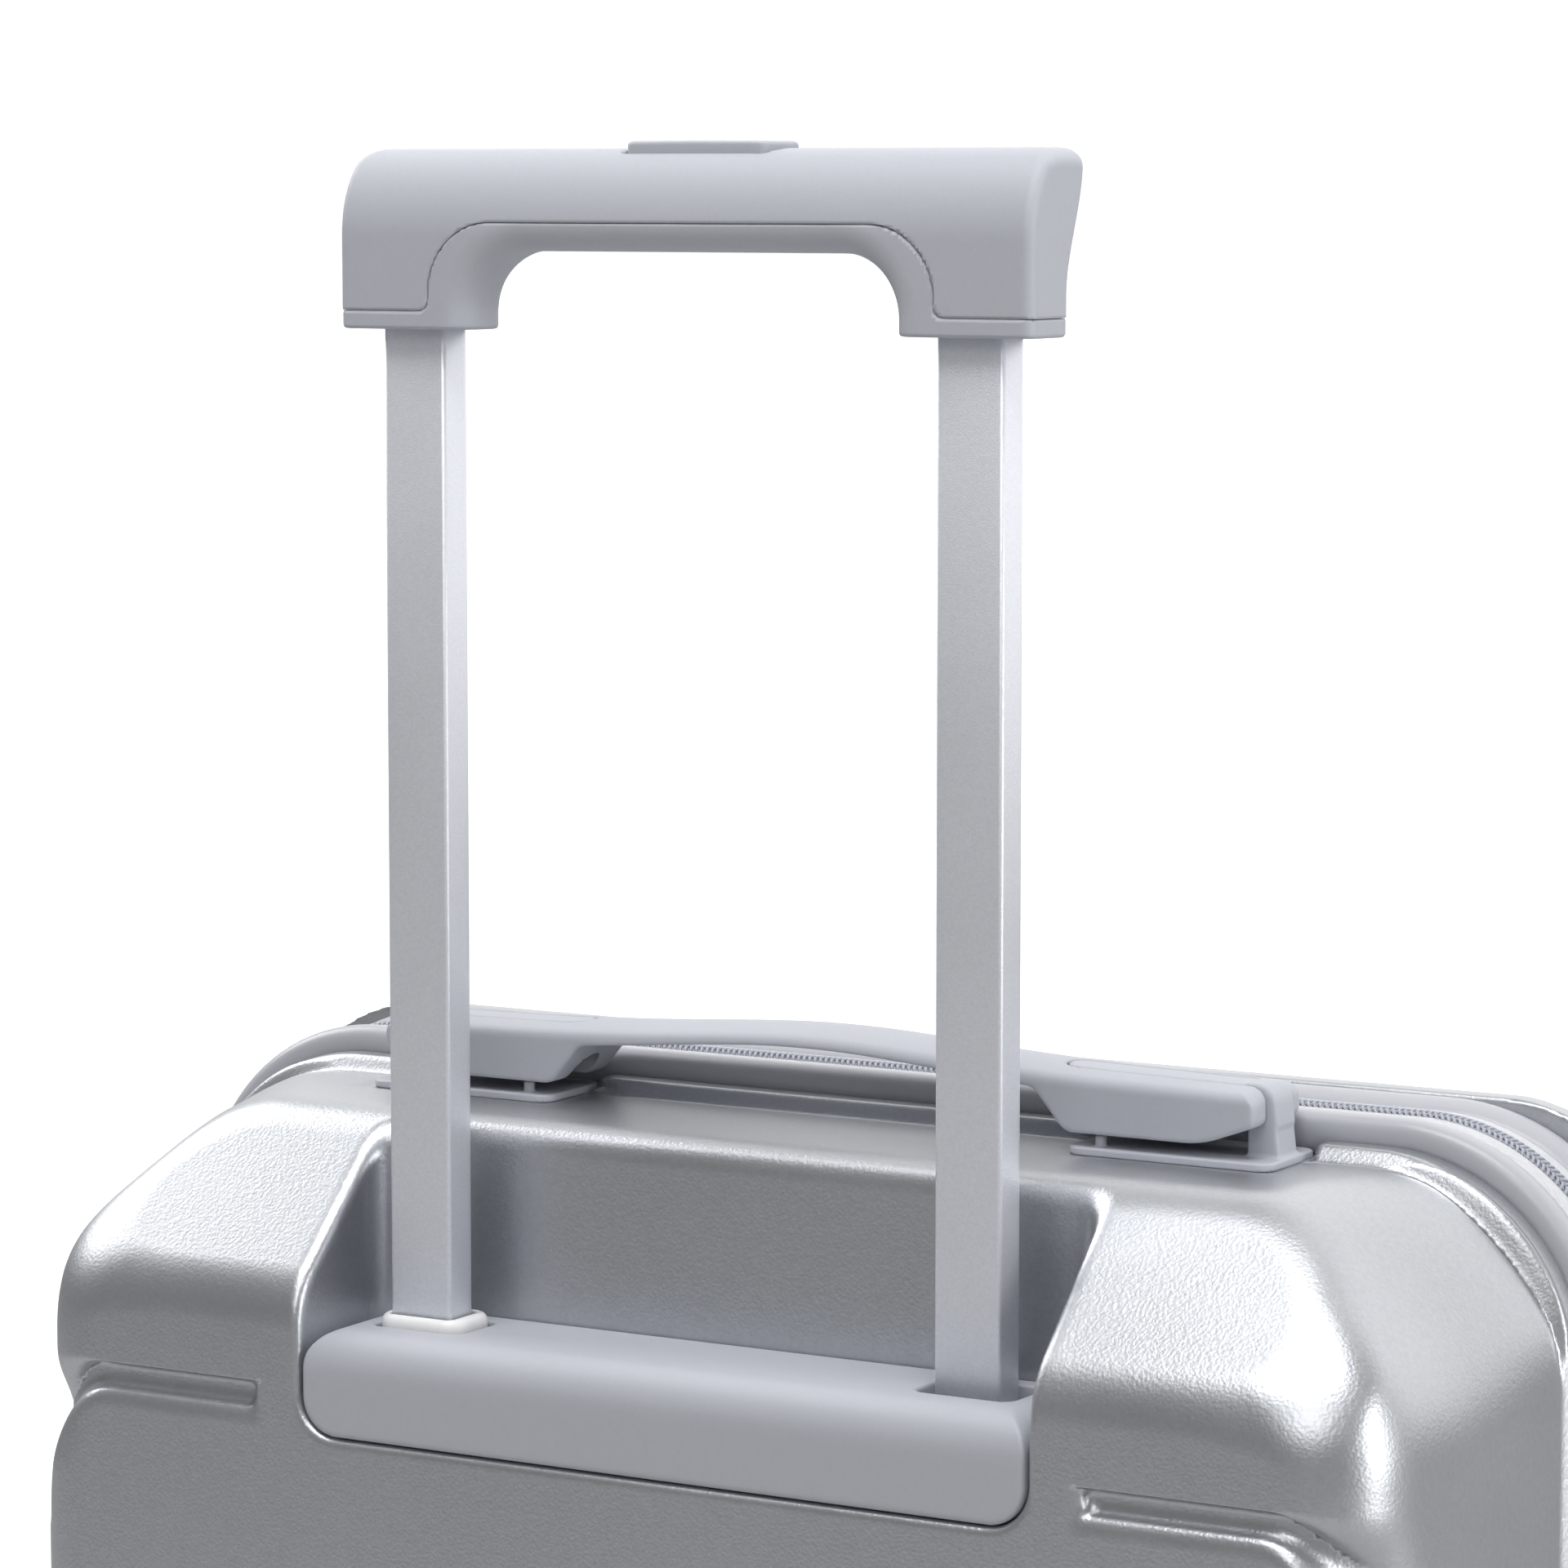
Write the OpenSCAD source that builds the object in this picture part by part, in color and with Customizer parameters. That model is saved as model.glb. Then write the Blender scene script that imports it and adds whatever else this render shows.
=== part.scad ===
// Cabin suitcase: two hard shells closed by a zip, a two-stage pull handle,
// a carry handle, a combination lock and four swivelling wheels.
// +X is the lock side, -X the hinge side, -Y the pull-handle side, +Z up,
// and the floor under the wheels is Z = 0.

/* [Case] */
// Width over the rim
rim_w = 377; // [374:1:380]
// Depth from the rear face to the front face
case_d = 222; // [220:1:226]
// Height of the lowest point of the rim
rim_low = 40.5; // [40:0.5:41.5]
// Height of the highest point of the rim
rim_high = 537.5; // [536:0.5:539]
// Corner radius of the rim
rim_r = 52; // [50:1:54]
// Corner radius of the shells, seen from behind
shell_r = 78; // [74:1:80]
// Wall of the moulded shells
wall = 2.2; // [2:0.1:2.6]
// How far the shells lie inside the rim
shell_inset = 4; // [3.5:0.5:4.5]
// How far each side wall leans in from the rim to the face
side_draft = 10.3; // [9:0.1:11]

/* [Pull handle] */
// Distance between the two tube centres
tube_gap = 142.4; // [141:0.2:144]
// Width of an inner tube
tube_w = 16.4; // [16:0.1:16.8]
// Depth of an inner tube
tube_d = 12; // [11.6:0.1:12.4]
// Wall of the tubes
tube_wall = 1; // [0.9:0.1:1.1]
// Height of the underside of the grip
grip_low = 711; // [709:1:713]
// Height of the grip
grip_h = 41.2; // [40.8:0.2:42]
// Width of the grip
grip_w = 177; // [176:1:180]
// Travel of each of the two stages
stage_travel = 222; // [218:1:222]

/* [Wheels] */
// Radius of a wheel
wheel_r = 23; // [22:0.5:23]
// Width of a wheel
wheel_w = 17; // [15:1:18]
// Distance between a wheel's axle and its swivel axis
trail = 10; // [8:1:10]

/* [Hidden] */
$fn = 48;

// Case levels, all derived from the rim
rear_y = -case_d / 2;
seam_y = -19;
piping_y = -8.5;
rim_x = rim_w / 2;
shell_x = rim_x - shell_inset;
shell_top = rim_high - shell_inset;
shell_low = rim_low + shell_inset;
top_z = rim_high - 9.5;
low_z = rim_low + 9.5;
panel_low = rim_high - 79.5;
panel_high = panel_low + 25;
past = 5;

// Pocket for the folded grip
pocket_x = 94.3;
pocket_back = rear_y + 37;
pocket_r = 10;

// Raised field on each face
field_x = 160;
field_top = panel_low + 7;
field_low = 96;
field_r = 20;
field_h = 4;
groove_x = 107.5;
groove_h = 5.5;

// Tubes: each stage slides in the next with this gap
slip = 0.4;
tube_y = rear_y + 22;
mid_w = tube_w + 2 * (slip + tube_wall);
mid_d = tube_d + 2 * (slip + tube_wall);
outer_w = mid_w + 2 * (slip + tube_wall);
outer_d = mid_d + 2 * (slip + tube_wall);
outer_low = 88;
outer_high = panel_high - 13;
mid_low = 214;
collar_h = 4.5;
collar_z = [panel_high, panel_high - 7.5];
inner_low = 446;

// Grip
grip_x = grip_w / 2;
grip_top = grip_low + grip_h;
arch_x = 56.5;
bar_low = grip_low + 17.6;
liner_rise = 6.4;
liner_foot = 4.2;
grip_front = rear_y + 11.4;
screw_x = 38;
button_y = tube_y + 2;

// Carry handle
mount_y = [rear_y + 66, rear_y + 92];
tongue_y = [rear_y + 74.3, rear_y + 83.7];
mount_x = [68, 124];
plate_top = top_z + 2;
arm_low = top_z + 3.4;
arm_top = top_z + 15.2;
strap_top = top_z + 22;
tongue_low = plate_top + 9.8;
pin_z = arm_low + 2.6;
prong_t = 7.3;
seat_x = [56, 124.3];

// Lock, on the side wall next to the rim
lock_z = 330;
lock_half = 34;
lock_y = [-50, -19.3];
lock_top = rim_x - 0.5;
dial_x = lock_top - 5.2;
dial_y = -35;
dial_r = 6;
dial_pitch = 12;

// Zip
tape_in = 2.5;
tape_t = 1.2;
teeth_in = 0.6;
zip_gap = 0.5;
hinge_z = [130, 448];
slider_z = [lock_z + 8, lock_z - 8];
slider_bar_x = rim_x + 2.1;

// Straps
strap_y = -15;
strap_z = 300;
strap_turn = 50;

// Wheels
caster_x = 140;
caster_y = 76;
caster_names = ["rl", "rr", "fl", "fr"];
caster_at = [
    [-caster_x, -caster_y], [caster_x, -caster_y],
    [-caster_x, caster_y], [caster_x, caster_y]
];
housing_x = 106;
housing_y = 40;
housing_top = 82;
well_r = 20;
well_top = 60;
stem_r = 4;
axle_r = 2.5;
leg_t = 2.6;

// Colours
silver = [0.60, 0.62, 0.65];
plastic = [0.66, 0.67, 0.71];
alloy = [0.70, 0.71, 0.73];
steel = [0.55, 0.56, 0.58];
white = [0.93, 0.93, 0.93];
dark = [0.16, 0.17, 0.19];
cloth = [0.30, 0.31, 0.34];

// ---- outlines: points are [x, y, corner radius], counter-clockwise ----
function unit(v) = v / norm(v);
function flat(p) = [p.x, p.y];

// Arc that rounds corner c between its neighbours p and n
function corner(p, c, n, r, k) =
    r <= 0 ? [c] :
    let (
        u = unit(p - c), v = unit(n - c), half = acos(u * v) / 2,
        m = c + unit(u + v) * r / sin(half),
        s = c + u * r / tan(half) - m, e = c + v * r / tan(half) - m,
        a = atan2(s.y, s.x), turn = (atan2(e.y, e.x) - a + 540) % 360 - 180
    )
    [for (i = [0:k]) m + r * [cos(a + turn * i / k), sin(a + turn * i / k)]];

function rounded(pts, k = 8) = [
    for (i = [0:len(pts) - 1])
        let (
            p = pts[(i + len(pts) - 1) % len(pts)], c = pts[i],
            n = pts[(i + 1) % len(pts)]
        )
        each corner(flat(p), flat(c), flat(n), c.z, k)
];

// The same outline moved inwards by d
function inset(pts, d) = [
    for (i = [0:len(pts) - 1])
        let (
            c = flat(pts[i]),
            a = unit(c - flat(pts[(i + len(pts) - 1) % len(pts)])),
            b = unit(flat(pts[(i + 1) % len(pts)]) - c),
            na = [-a.y, a.x], nb = [-b.y, b.x],
            convex = a.x * b.y - a.y * b.x > 0,
            q = c + (na + nb) * d / (1 + na * nb),
            r = pts[i].z
        )
        [q.x, q.y, r <= 0 ? 0 : max(r + (convex ? -d : d), 0.2)]
];

function box_outline(x, z0, z1, r) = [[-x, z0, r], [x, z0, r], [x, z1, r], [-x, z1, r]];
function rim_outline() = box_outline(rim_x, rim_low, rim_high, rim_r);
function shell_outline() = box_outline(shell_x, shell_low, shell_top, shell_r);

// Section of a shell from its face to the seam; e carries it past the seam
function side_section(e) = [
    [rear_y, low_z, 20], [seam_y - 25, low_z, 6], [seam_y - 15, shell_low + 2, 3],
    [seam_y + e, shell_low, 0], [seam_y + e, shell_top, 0],
    [seam_y - 15, shell_top - 2, 3], [seam_y - 25, top_z, 6],
    [rear_y + 38, top_z - 0.5, 16], [rear_y, top_z - 45.8, 16]
];
function plan_section(e) = [
    [-shell_x + side_draft, rear_y, 14], [shell_x - side_draft, rear_y, 14],
    [shell_x, seam_y + e, 0], [-shell_x, seam_y + e, 0]
];

// ---- extrusions along the three axes ----
module along_x(x0, x1) {
    translate([x0, 0, 0]) rotate([90, 0, 90]) linear_extrude(x1 - x0) children();
}
module along_y(y0, y1) {
    translate([0, y1, 0]) rotate([90, 0, 0]) linear_extrude(y1 - y0) children();
}
module along_z(z0, z1) {
    translate([0, 0, z0]) linear_extrude(z1 - z0) children();
}
module span(lo, hi) {
    translate(lo) cube(hi - lo);
}
module rod(r, z0, z1) {
    translate([0, 0, z0]) cylinder(r = r, h = z1 - z0);
}
module pair() {
    for (s = [-1, 1]) translate([s * tube_gap / 2, tube_y, 0]) children();
}
module front() {
    mirror([0, 1, 0]) children();
}

// ---- shells ----
// Outer form of the rear shell moved inwards by d
module shell_form(d, outline = shell_outline()) {
    e = d > 0 ? past + d : 0;
    intersection() {
        along_y(rear_y + d, seam_y + e) polygon(rounded(inset(outline, d), 12));
        along_x(-rim_x, rim_x) polygon(rounded(inset(side_section(e), d)));
        along_z(rim_low, rim_high) polygon(rounded(inset(plan_section(e), d)));
    }
}

// The margin cut back round the raised field, with the grooves above it
module field_margin(d) {
    difference() {
        span([-rim_x, rear_y - 1, rim_low], [rim_x, rear_y + field_h + d, field_top + d]);
        along_y(rear_y - 2, rear_y + field_h + d + 1)
            polygon(rounded(inset(box_outline(field_x, field_low, field_top, field_r), d)));
        span([-groove_x + d, rear_y - 2, field_top - field_r],
            [groove_x - d, rear_y + field_h + d + 1, field_top + d + 1]);
    }
    for (s = [0, 1]) mirror([s, 0, 0])
        span([groove_x - d, rear_y - 1, field_top - d],
            [rim_x, rear_y + field_h + d, field_top + groove_h + d]);
}

// Corner spaces for the wheel housings
module corner_space(d) {
    for (s = [0, 1]) mirror([s, 0, 0])
        span([housing_x - d, rear_y - 1, 0], [rim_x, -housing_y + d, housing_top + d]);
}

module plain_shell() {
    difference() {
        union() {
            difference() {
                union() {
                    shell_form(0);
                    along_y(seam_y - 5, seam_y) polygon(rounded(inset(rim_outline(), shell_inset), 12));
                }
                difference() {
                    shell_form(wall);
                    field_margin(wall);
                }
            }
            intersection() {
                shell_form(0);
                corner_space(wall);
            }
        }
        field_margin(0);
        corner_space(0);
    }
}

module pocket(d) {
    along_y(rear_y - 1, pocket_back + d) polygon(rounded([
        [-pocket_x - d, panel_low - d, pocket_r + d], [pocket_x + d, panel_low - d, pocket_r + d],
        [pocket_x + d, rim_high, 0], [-pocket_x - d, rim_high, 0]
    ]));
}

// Flat seats for the carry handle's mounts
module handle_seats(d) {
    for (s = [0, 1]) mirror([s, 0, 0])
        span([seat_x[0] - d, mount_y[0] - d, top_z - d], [seat_x[1] + d, seam_y + 0.1, rim_high]);
}

module rear_shell() color(silver) {
    difference() {
        union() {
            plain_shell();
            intersection() {
                shell_form(0);
                union() {
                    pocket(wall);
                    handle_seats(wall);
                }
            }
        }
        pocket(0);
        handle_seats(0);
        pair() along_z(panel_low - 10, panel_low + 1) square([outer_w + 1, outer_d + 1], center = true);
        span([shell_x - 15, lock_y[0] + 4, lock_z - lock_half + 8],
            [rim_x, lock_y[1] - 6, lock_z + lock_half - 8]);
    }
}

module front_shell() color(silver) front() plain_shell();

// ---- rim ----
module piping() color(plastic) {
    difference() {
        along_y(seam_y, piping_y) polygon(rounded(rim_outline(), 12));
        along_y(seam_y - 1, piping_y + 1) polygon(rounded(inset(rim_outline(), 9), 12));
    }
}
module rear_piping() piping();
module front_piping() front() piping();

module rim_ring(y0, y1, d0, d1) {
    difference() {
        along_y(y0, y1) polygon(rounded(inset(rim_outline(), d0), 12));
        along_y(y0 - 1, y1 + 1) polygon(rounded(inset(rim_outline(), d1), 12));
    }
}

// Tape with its coil of teeth, open along the hinge
module zip_half() color(cloth) {
    difference() {
        union() {
            rim_ring(piping_y, -zip_gap, tape_in, tape_in + tape_t);
            rim_ring(-3.2, -zip_gap, teeth_in, tape_in + 0.2);
        }
        span([-rim_x - 1, piping_y - 1, hinge_z[0]], [-rim_x + 20, 1, hinge_z[1]]);
    }
}
module rear_zip() zip_half();
module front_zip() front() zip_half();

module hinge_strip() color(cloth)
    span([-rim_x + tape_in, piping_y, hinge_z[0] + 0.5],
        [-rim_x + tape_in + tape_t, -piping_y - slip, hinge_z[1] - 0.5]);

// ---- pull handle ----
module base_panel() color(plastic) {
    fit_gap = 0.5;
    difference() {
        intersection() {
            along_x(-pocket_x + fit_gap, pocket_x - fit_gap) polygon(rounded([
                [rear_y, panel_low + fit_gap, 1.5], [pocket_back - fit_gap, panel_low + fit_gap, 0],
                [pocket_back - fit_gap, panel_high, 1], [rear_y, panel_high, 11]
            ]));
            along_y(rear_y - 1, pocket_back) polygon(rounded([
                [-pocket_x + fit_gap, panel_low + fit_gap, pocket_r],
                [pocket_x - fit_gap, panel_low + fit_gap, pocket_r],
                [pocket_x - fit_gap, panel_high, 6], [-pocket_x + fit_gap, panel_high, 6]
            ]));
        }
        span([-pocket_x + 4, rear_y + 3, panel_low - 1],
            [pocket_x - 4, pocket_back - 3, panel_high - 2.6]);
        pair() along_z(panel_high - 4, panel_high + 1) tube_outline(28, 19.6, 4);
    }
}

module tube_outline(w, d, r) {
    polygon(rounded([[-w / 2, -d / 2, r], [w / 2, -d / 2, r], [w / 2, d / 2, r], [-w / 2, d / 2, r]], 4));
}
module tube(w, d, z0, z1) {
    difference() {
        along_z(z0, z1) tube_outline(w, d, 1.6);
        along_z(z0 - 1, z1 + 1) tube_outline(w - 2 * tube_wall, d - 2 * tube_wall, 0.6);
    }
}

module outer_tubes() color(alloy) pair() tube(outer_w, outer_d, outer_low, outer_high);

module bottom_bracket() color(dark) {
    difference() {
        span([-tube_gap / 2 - 17, rear_y + field_h + wall, outer_low - 8],
            [tube_gap / 2 + 17, tube_y + outer_d / 2 + 3, outer_low + 8]);
        pair() along_z(outer_low, outer_low + 9) square([outer_w, outer_d], center = true);
        span([-tube_gap / 2 + 16, rear_y + 10, outer_low - 9],
            [tube_gap / 2 - 16, 0, outer_low + 4]);
    }
}

module mid_tubes() color(alloy)
    for (i = [0, 1]) translate([(2 * i - 1) * tube_gap / 2, tube_y, 0])
        tube(mid_w, mid_d, mid_low, collar_z[i]);

module collars() color(white)
    for (i = [0, 1]) translate([(2 * i - 1) * tube_gap / 2, tube_y, 0]) difference() {
        along_z(collar_z[i], collar_z[i] + collar_h) tube_outline(27.2, 18.8, 4);
        along_z(collar_z[i] - 1, collar_z[i] + collar_h + 1)
            tube_outline(tube_w + 2 * slip, tube_d + 2 * slip, 1.6);
    }

module mid_bushes() color(dark) pair() difference() {
    along_z(mid_low - 14, mid_low) tube_outline(mid_w + 0.2, mid_d + 0.2, 1.6);
    along_z(mid_low - 15, mid_low + 1) tube_outline(mid_w - 5, mid_d - 5, 0.8);
}

module inner_tubes() color(alloy) pair() tube(tube_w, tube_d, inner_low, grip_low + 14);

module latch_blocks() color(dark) pair() difference() {
    along_z(inner_low - 8, inner_low) tube_outline(tube_w, tube_d, 1.6);
    rod(2.2, inner_low - 9, inner_low + 1);
}

// Outline of the whole grip seen from behind, with its arch
function grip_outline(low) = [
    [-grip_x, low, 1], [-arch_x, low, 1], [-arch_x, bar_low, 14], [arch_x, bar_low, 14],
    [arch_x, low, 1], [grip_x, low, 1], [grip_x, grip_top, 13], [-grip_x, grip_top, 13]
];
// Section of the grip: upright at the bottom, leaning forward at the top
function grip_section() = [
    [grip_front, grip_low, 1], [grip_front + 19.5, grip_low, 1],
    [grip_front + 19.5, grip_low + 17, 12], [grip_front + 24.4, grip_top - 7, 4],
    [grip_front + 22.5, grip_top, 3], [grip_front + 8, grip_top, 9],
    [grip_front, grip_low + 27, 14]
];
module grip_form(d) {
    intersection() {
        along_x(-grip_x, grip_x) polygon(rounded(inset(grip_section(), d)));
        along_y(grip_front - 1, grip_front + 40) polygon(rounded(inset(grip_outline(grip_low), d)));
    }
}
// Band along the arch and the feet that belongs to the liner
module liner_band(d) {
    difference() {
        span([-grip_x - 1, grip_front - 2, grip_low - 1], [grip_x + 1, grip_front + 41, grip_top + 1]);
        along_y(grip_front - 3, grip_front + 42) polygon(rounded([
            [-grip_x - 2, grip_low + liner_foot + d, 0], [-arch_x - 8 - d, grip_low + liner_foot + d, 3],
            [-arch_x - 8 - d, bar_low + liner_rise + d, 16], [arch_x + 8 + d, bar_low + liner_rise + d, 16],
            [arch_x + 8 + d, grip_low + liner_foot + d, 3], [grip_x + 2, grip_low + liner_foot + d, 0],
            [grip_x + 2, grip_top + 2, 0], [-grip_x - 2, grip_top + 2, 0]
        ]));
    }
}
// Space inside the grip for the release bar and the tube ends
module grip_hollow() {
    span([-tube_gap / 2 - 5, tube_y - 3.4, grip_top - 13.5],
        [tube_gap / 2 + 5, tube_y + 3.4, grip_top - 4]);
    pair() along_z(grip_low - 1, grip_top - 10) tube_outline(tube_w, tube_d, 1.6);
}
module grip_cover() color(plastic) difference() {
    grip_form(0);
    liner_band(0.1);
    grip_hollow();
    translate([0, button_y, 0]) along_z(grip_top - 8, grip_top + 1) polygon(button_plan(0.4));
}
module grip_liner() color(plastic) difference() {
    intersection() {
        grip_form(0.3);
        liner_band(0);
    }
    grip_hollow();
    for (s = [-1, 1]) translate([s * screw_x, tube_y + 1, 0]) rod(1.5, bar_low - 1, bar_low + 12);
}
module grip_screws() color(steel)
    for (s = [-1, 1]) translate([s * screw_x, tube_y + 1, 0]) rod(1.4, bar_low + 0.8, bar_low + 6);

// Release: a slanted button on a bar that works a rod in each tube
function button_plan(g) = rounded([
    [-21 - g, -5.2 - g, 2], [21 + g, -5.2 - g, 2], [15 + g, 5.2 + g, 2], [-15 - g, 5.2 + g, 2]
]);
module release_button() color(plastic)
    translate([0, button_y, 0]) along_z(grip_top - 4, grip_top + 1.3) polygon(button_plan(0));
module release_bar() color(dark)
    span([-tube_gap / 2 - 4, tube_y - 2.8, grip_top - 9.5], [tube_gap / 2 + 4, tube_y + 2.8, grip_top - 4]);
module push_rods() color(steel) pair() rod(1.5, inner_low - 2, grip_top - 9.5);
module release_springs() color(steel)
    for (s = [-1, 1]) translate([s * 55, tube_y, 0]) difference() {
        rod(2.4, grip_top - 13.5, grip_top - 9.5);
        rod(1.6, grip_top - 14, grip_top - 9);
    }

// ---- carry handle ----
module handle_mount() {
    span([mount_x[0], mount_y[0], top_z], [mount_x[1], mount_y[1], plate_top]);
    along_y(tongue_y[0], tongue_y[1]) polygon(rounded([
        [mount_x[0], tongue_low, 1.3], [111, tongue_low, 1], [113, plate_top - 1, 0],
        [121.5, plate_top - 1, 0], [118.5, arm_top - 0.6, 3], [mount_x[0], arm_top - 0.6, 1.5]
    ], 4));
}
module handle_mount_right() color(plastic) handle_mount();
module handle_mount_left() color(plastic) mirror([1, 0, 0]) handle_mount();

// Two prongs at each end straddle the tongue; the strap joins them
module handle_prong() {
    along_y(0, prong_t) polygon(rounded([
        [48, arm_top - 1, 2], [62, arm_low, 1], [110, arm_low, 4], [114.5, arm_low + 5, 4],
        [108, arm_top - 2, 3], [57, strap_top - 3, 4], [40, strap_top - 2.6, 0]
    ], 4));
}
module carry_handle() color(plastic) union() {
    for (s = [0, 1]) mirror([s, 0, 0]) {
        translate([0, mount_y[0] + 0.5, 0]) handle_prong();
        translate([0, mount_y[1] - 0.5 - prong_t, 0]) handle_prong();
    }
    along_y(mount_y[0] + 0.5, mount_y[1] - 0.5) polygon(concat(
        [for (i = [0:12]) let (t = i / 6 - 1) [t * 62, strap_top - 4.6 * t * t - 3.2]],
        [for (i = [0:12]) let (t = 1 - i / 6) [t * 62, strap_top - 3.6 * t * t]]
    ));
}
module handle_pins() color(steel)
    for (s = [-1, 1]) translate([s * 98, 0, pin_z]) rotate([90, 0, 0])
        rod(1.5, -tongue_y[1] - 0.5, -tongue_y[0] + 0.5);
module handle_screws() color(steel)
    for (s = [-1, 1], x = [78, 104]) translate([s * x, (mount_y[0] + mount_y[1]) / 2, 0])
        rod(3, top_z - wall - 2, top_z - wall - 0.6);

// ---- lock and zip pulls ----
module lock_body() color(dark) {
    difference() {
        union() {
            difference() {
                span([shell_x - 8, lock_y[0], lock_z - lock_half], [lock_top, lock_y[1], lock_z + lock_half]);
                shell_form(0);
                along_y(seam_y - 5, seam_y) polygon(rounded(inset(rim_outline(), shell_inset), 12));
            }
            span([lock_top - 12.2, lock_y[0] + 4.5, lock_z - lock_half + 8.5],
                [lock_top - 1, lock_y[1] - 6.5, lock_z + lock_half - 8.5]);
        }
        for (i = [-1:1]) translate([dial_x, dial_y, lock_z + i * dial_pitch])
            rod(dial_r + 0.4, -3, 3);
        span([lock_top - 2.2, dial_y - 5.4, lock_z - 31], [lock_top + 1, dial_y + 5.4, lock_z - 19]);
    }
    translate([dial_x, dial_y, 0]) rod(1.2, lock_z - 16, lock_z + 16);
}
module lock_dial(i) color(steel)
    translate([dial_x, dial_y, lock_z + (i - 2) * dial_pitch]) difference() {
        rod(dial_r, -2.6, 2.6);
        rod(1.25, -3, 3);
    }
module lock_latch() color(steel)
    span([lock_top - 2, dial_y - 5, lock_z - 27.5], [lock_top + 0.8, dial_y + 5, lock_z - 19.5]);

module slider(i) color(steel) translate([0, 0, slider_z[i]]) {
    along_x(rim_x - 0.2, rim_x + 0.9) polygon(rounded([
        [-5.5, -5.5, 1.5], [5.5, -5.5, 1.5], [4, 6, 1.5], [-4, 6, 1.5]
    ], 4));
    for (s = [-1, 1]) span([rim_x + 0.8, -1.6, s * 4.4 - 0.7], [slider_bar_x + 0.8, 1.6, s * 4.4 + 0.7]);
    translate([slider_bar_x, 0, 0]) rod(0.6, -4, 4);
}
module pull(i) color(steel) translate([slider_bar_x, 0, slider_z[i]]) {
    difference() {
        union() {
            rod(1.15, -3.3, 3.3);
            span([-0.7, -24, -3.3], [0.7, -0.6, 3.3]);
        }
        rod(0.7, -4, 4);
    }
}

// ---- inside ----
module lining(back_y) {
    difference() {
        intersection() {
            shell_form(8);
            span([-rim_x, back_y, 86], [rim_x, -12, rim_high]);
        }
        intersection() {
            shell_form(9);
            span([-rim_x, back_y + 1, 87], [rim_x, 0, rim_high]);
        }
    }
}
module rear_lining() color(cloth) lining(rear_y + 42);
module front_lining() color(cloth) front() lining(rear_y + 8);
// Two elastic straps that cross at a buckle and end on the lining
module cross_straps() color(dark) {
    intersection() {
        shell_form(9);
        translate([0, strap_y, strap_z]) for (a = [-strap_turn, strap_turn]) rotate([0, a, 0])
            span([-rim_high / 2, 0, -12.5], [rim_high / 2, 1.2, 12.5]);
    }
    translate([0, strap_y, strap_z]) span([-26, -2.5, -20], [26, 3.5, 20]);
}

// ---- wheels ----
// Corner block of the case with the well and bore that take a fork
module housing(i) color(dark) {
    at = caster_at[i];
    difference() {
        mirror([at.x < 0 ? 1 : 0, 0, 0]) mirror([0, at.y > 0 ? 1 : 0, 0]) intersection() {
            shell_form(0, box_outline(shell_x, low_z, shell_top, 45));
            span([housing_x + 0.3, rear_y - 1, 0], [rim_x, -housing_y - 0.3, housing_top - 0.3]);
        }
        translate([at.x, at.y, 0]) {
            rod(well_r, 0, well_top);
            rod(stem_r + 0.05, 0, well_top + 12);
        }
    }
}
// Swivelling fork; its wheel trails behind the swivel axis
module fork(i) color(plastic) translate([caster_at[i].x, caster_at[i].y, 0]) {
    leg = wheel_w / 2 + 0.8;
    difference() {
        union() {
            rod(17, wheel_r * 2 + 2, well_top - 1.5);
            rod(stem_r, well_top - 2, well_top + 10);
            for (s = [0, 1]) mirror([s, 0, 0]) along_x(leg, leg + leg_t) polygon(rounded([
                [trail + 6, wheel_r - 5, 4], [trail + 7, wheel_r + 6, 3], [14, wheel_r * 2 + 3, 0],
                [-11, wheel_r * 2 + 3, 0], [trail - 7, wheel_r + 4, 3], [trail - 6, wheel_r - 5, 4]
            ], 4));
        }
        translate([0, trail, wheel_r]) rotate([0, 90, 0]) rod(axle_r, -20, 20);
    }
}
module at_wheel(i) {
    translate([caster_at[i].x, caster_at[i].y + trail, wheel_r]) rotate([0, 90, 0]) children();
}
module axle(i) color(steel) at_wheel(i)
    rod(axle_r, -wheel_w / 2 - 0.8 - leg_t, wheel_w / 2 + 0.8 + leg_t);
module hub(i) color(plastic) at_wheel(i) difference() {
    rod(wheel_r - 5, -wheel_w / 2, wheel_w / 2);
    rod(axle_r + 0.05, -wheel_w, wheel_w);
    for (s = [-1, 1]) translate([0, 0, s * wheel_w / 2]) difference() {
        rod(wheel_r - 8, -2.5, 2.5);
        rod(axle_r + 3, -3, 3);
    }
}
module tyre(i) color(dark) at_wheel(i) rotate_extrude($fn = 64) polygon(rounded([
    [wheel_r - 5, -wheel_w / 2, 0.3], [wheel_r, -wheel_w / 2, 2.5],
    [wheel_r, wheel_w / 2, 2.5], [wheel_r - 5, wheel_w / 2, 0.3]
], 4));

rear_shell();
front_shell();
rear_piping();
front_piping();
rear_zip();
front_zip();
hinge_strip();
base_panel();
outer_tubes();
bottom_bracket();
mid_tubes();
collars();
mid_bushes();
inner_tubes();
latch_blocks();
grip_cover();
grip_liner();
grip_screws();
release_button();
release_bar();
push_rods();
release_springs();
carry_handle();
handle_pins();
handle_mount_left();
handle_mount_right();
handle_screws();
lock_body();
for (i = [1:3]) lock_dial(i);
lock_latch();
slider(0);  // slider_upper
slider(1);  // slider_lower
pull(0);  // pull_upper
pull(1);  // pull_lower
rear_lining();
front_lining();
cross_straps();
for (i = [0:3]) {
    housing(i);
    fork(i);
    axle(i);
    hub(i);
    tyre(i);
}
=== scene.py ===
import math

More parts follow.
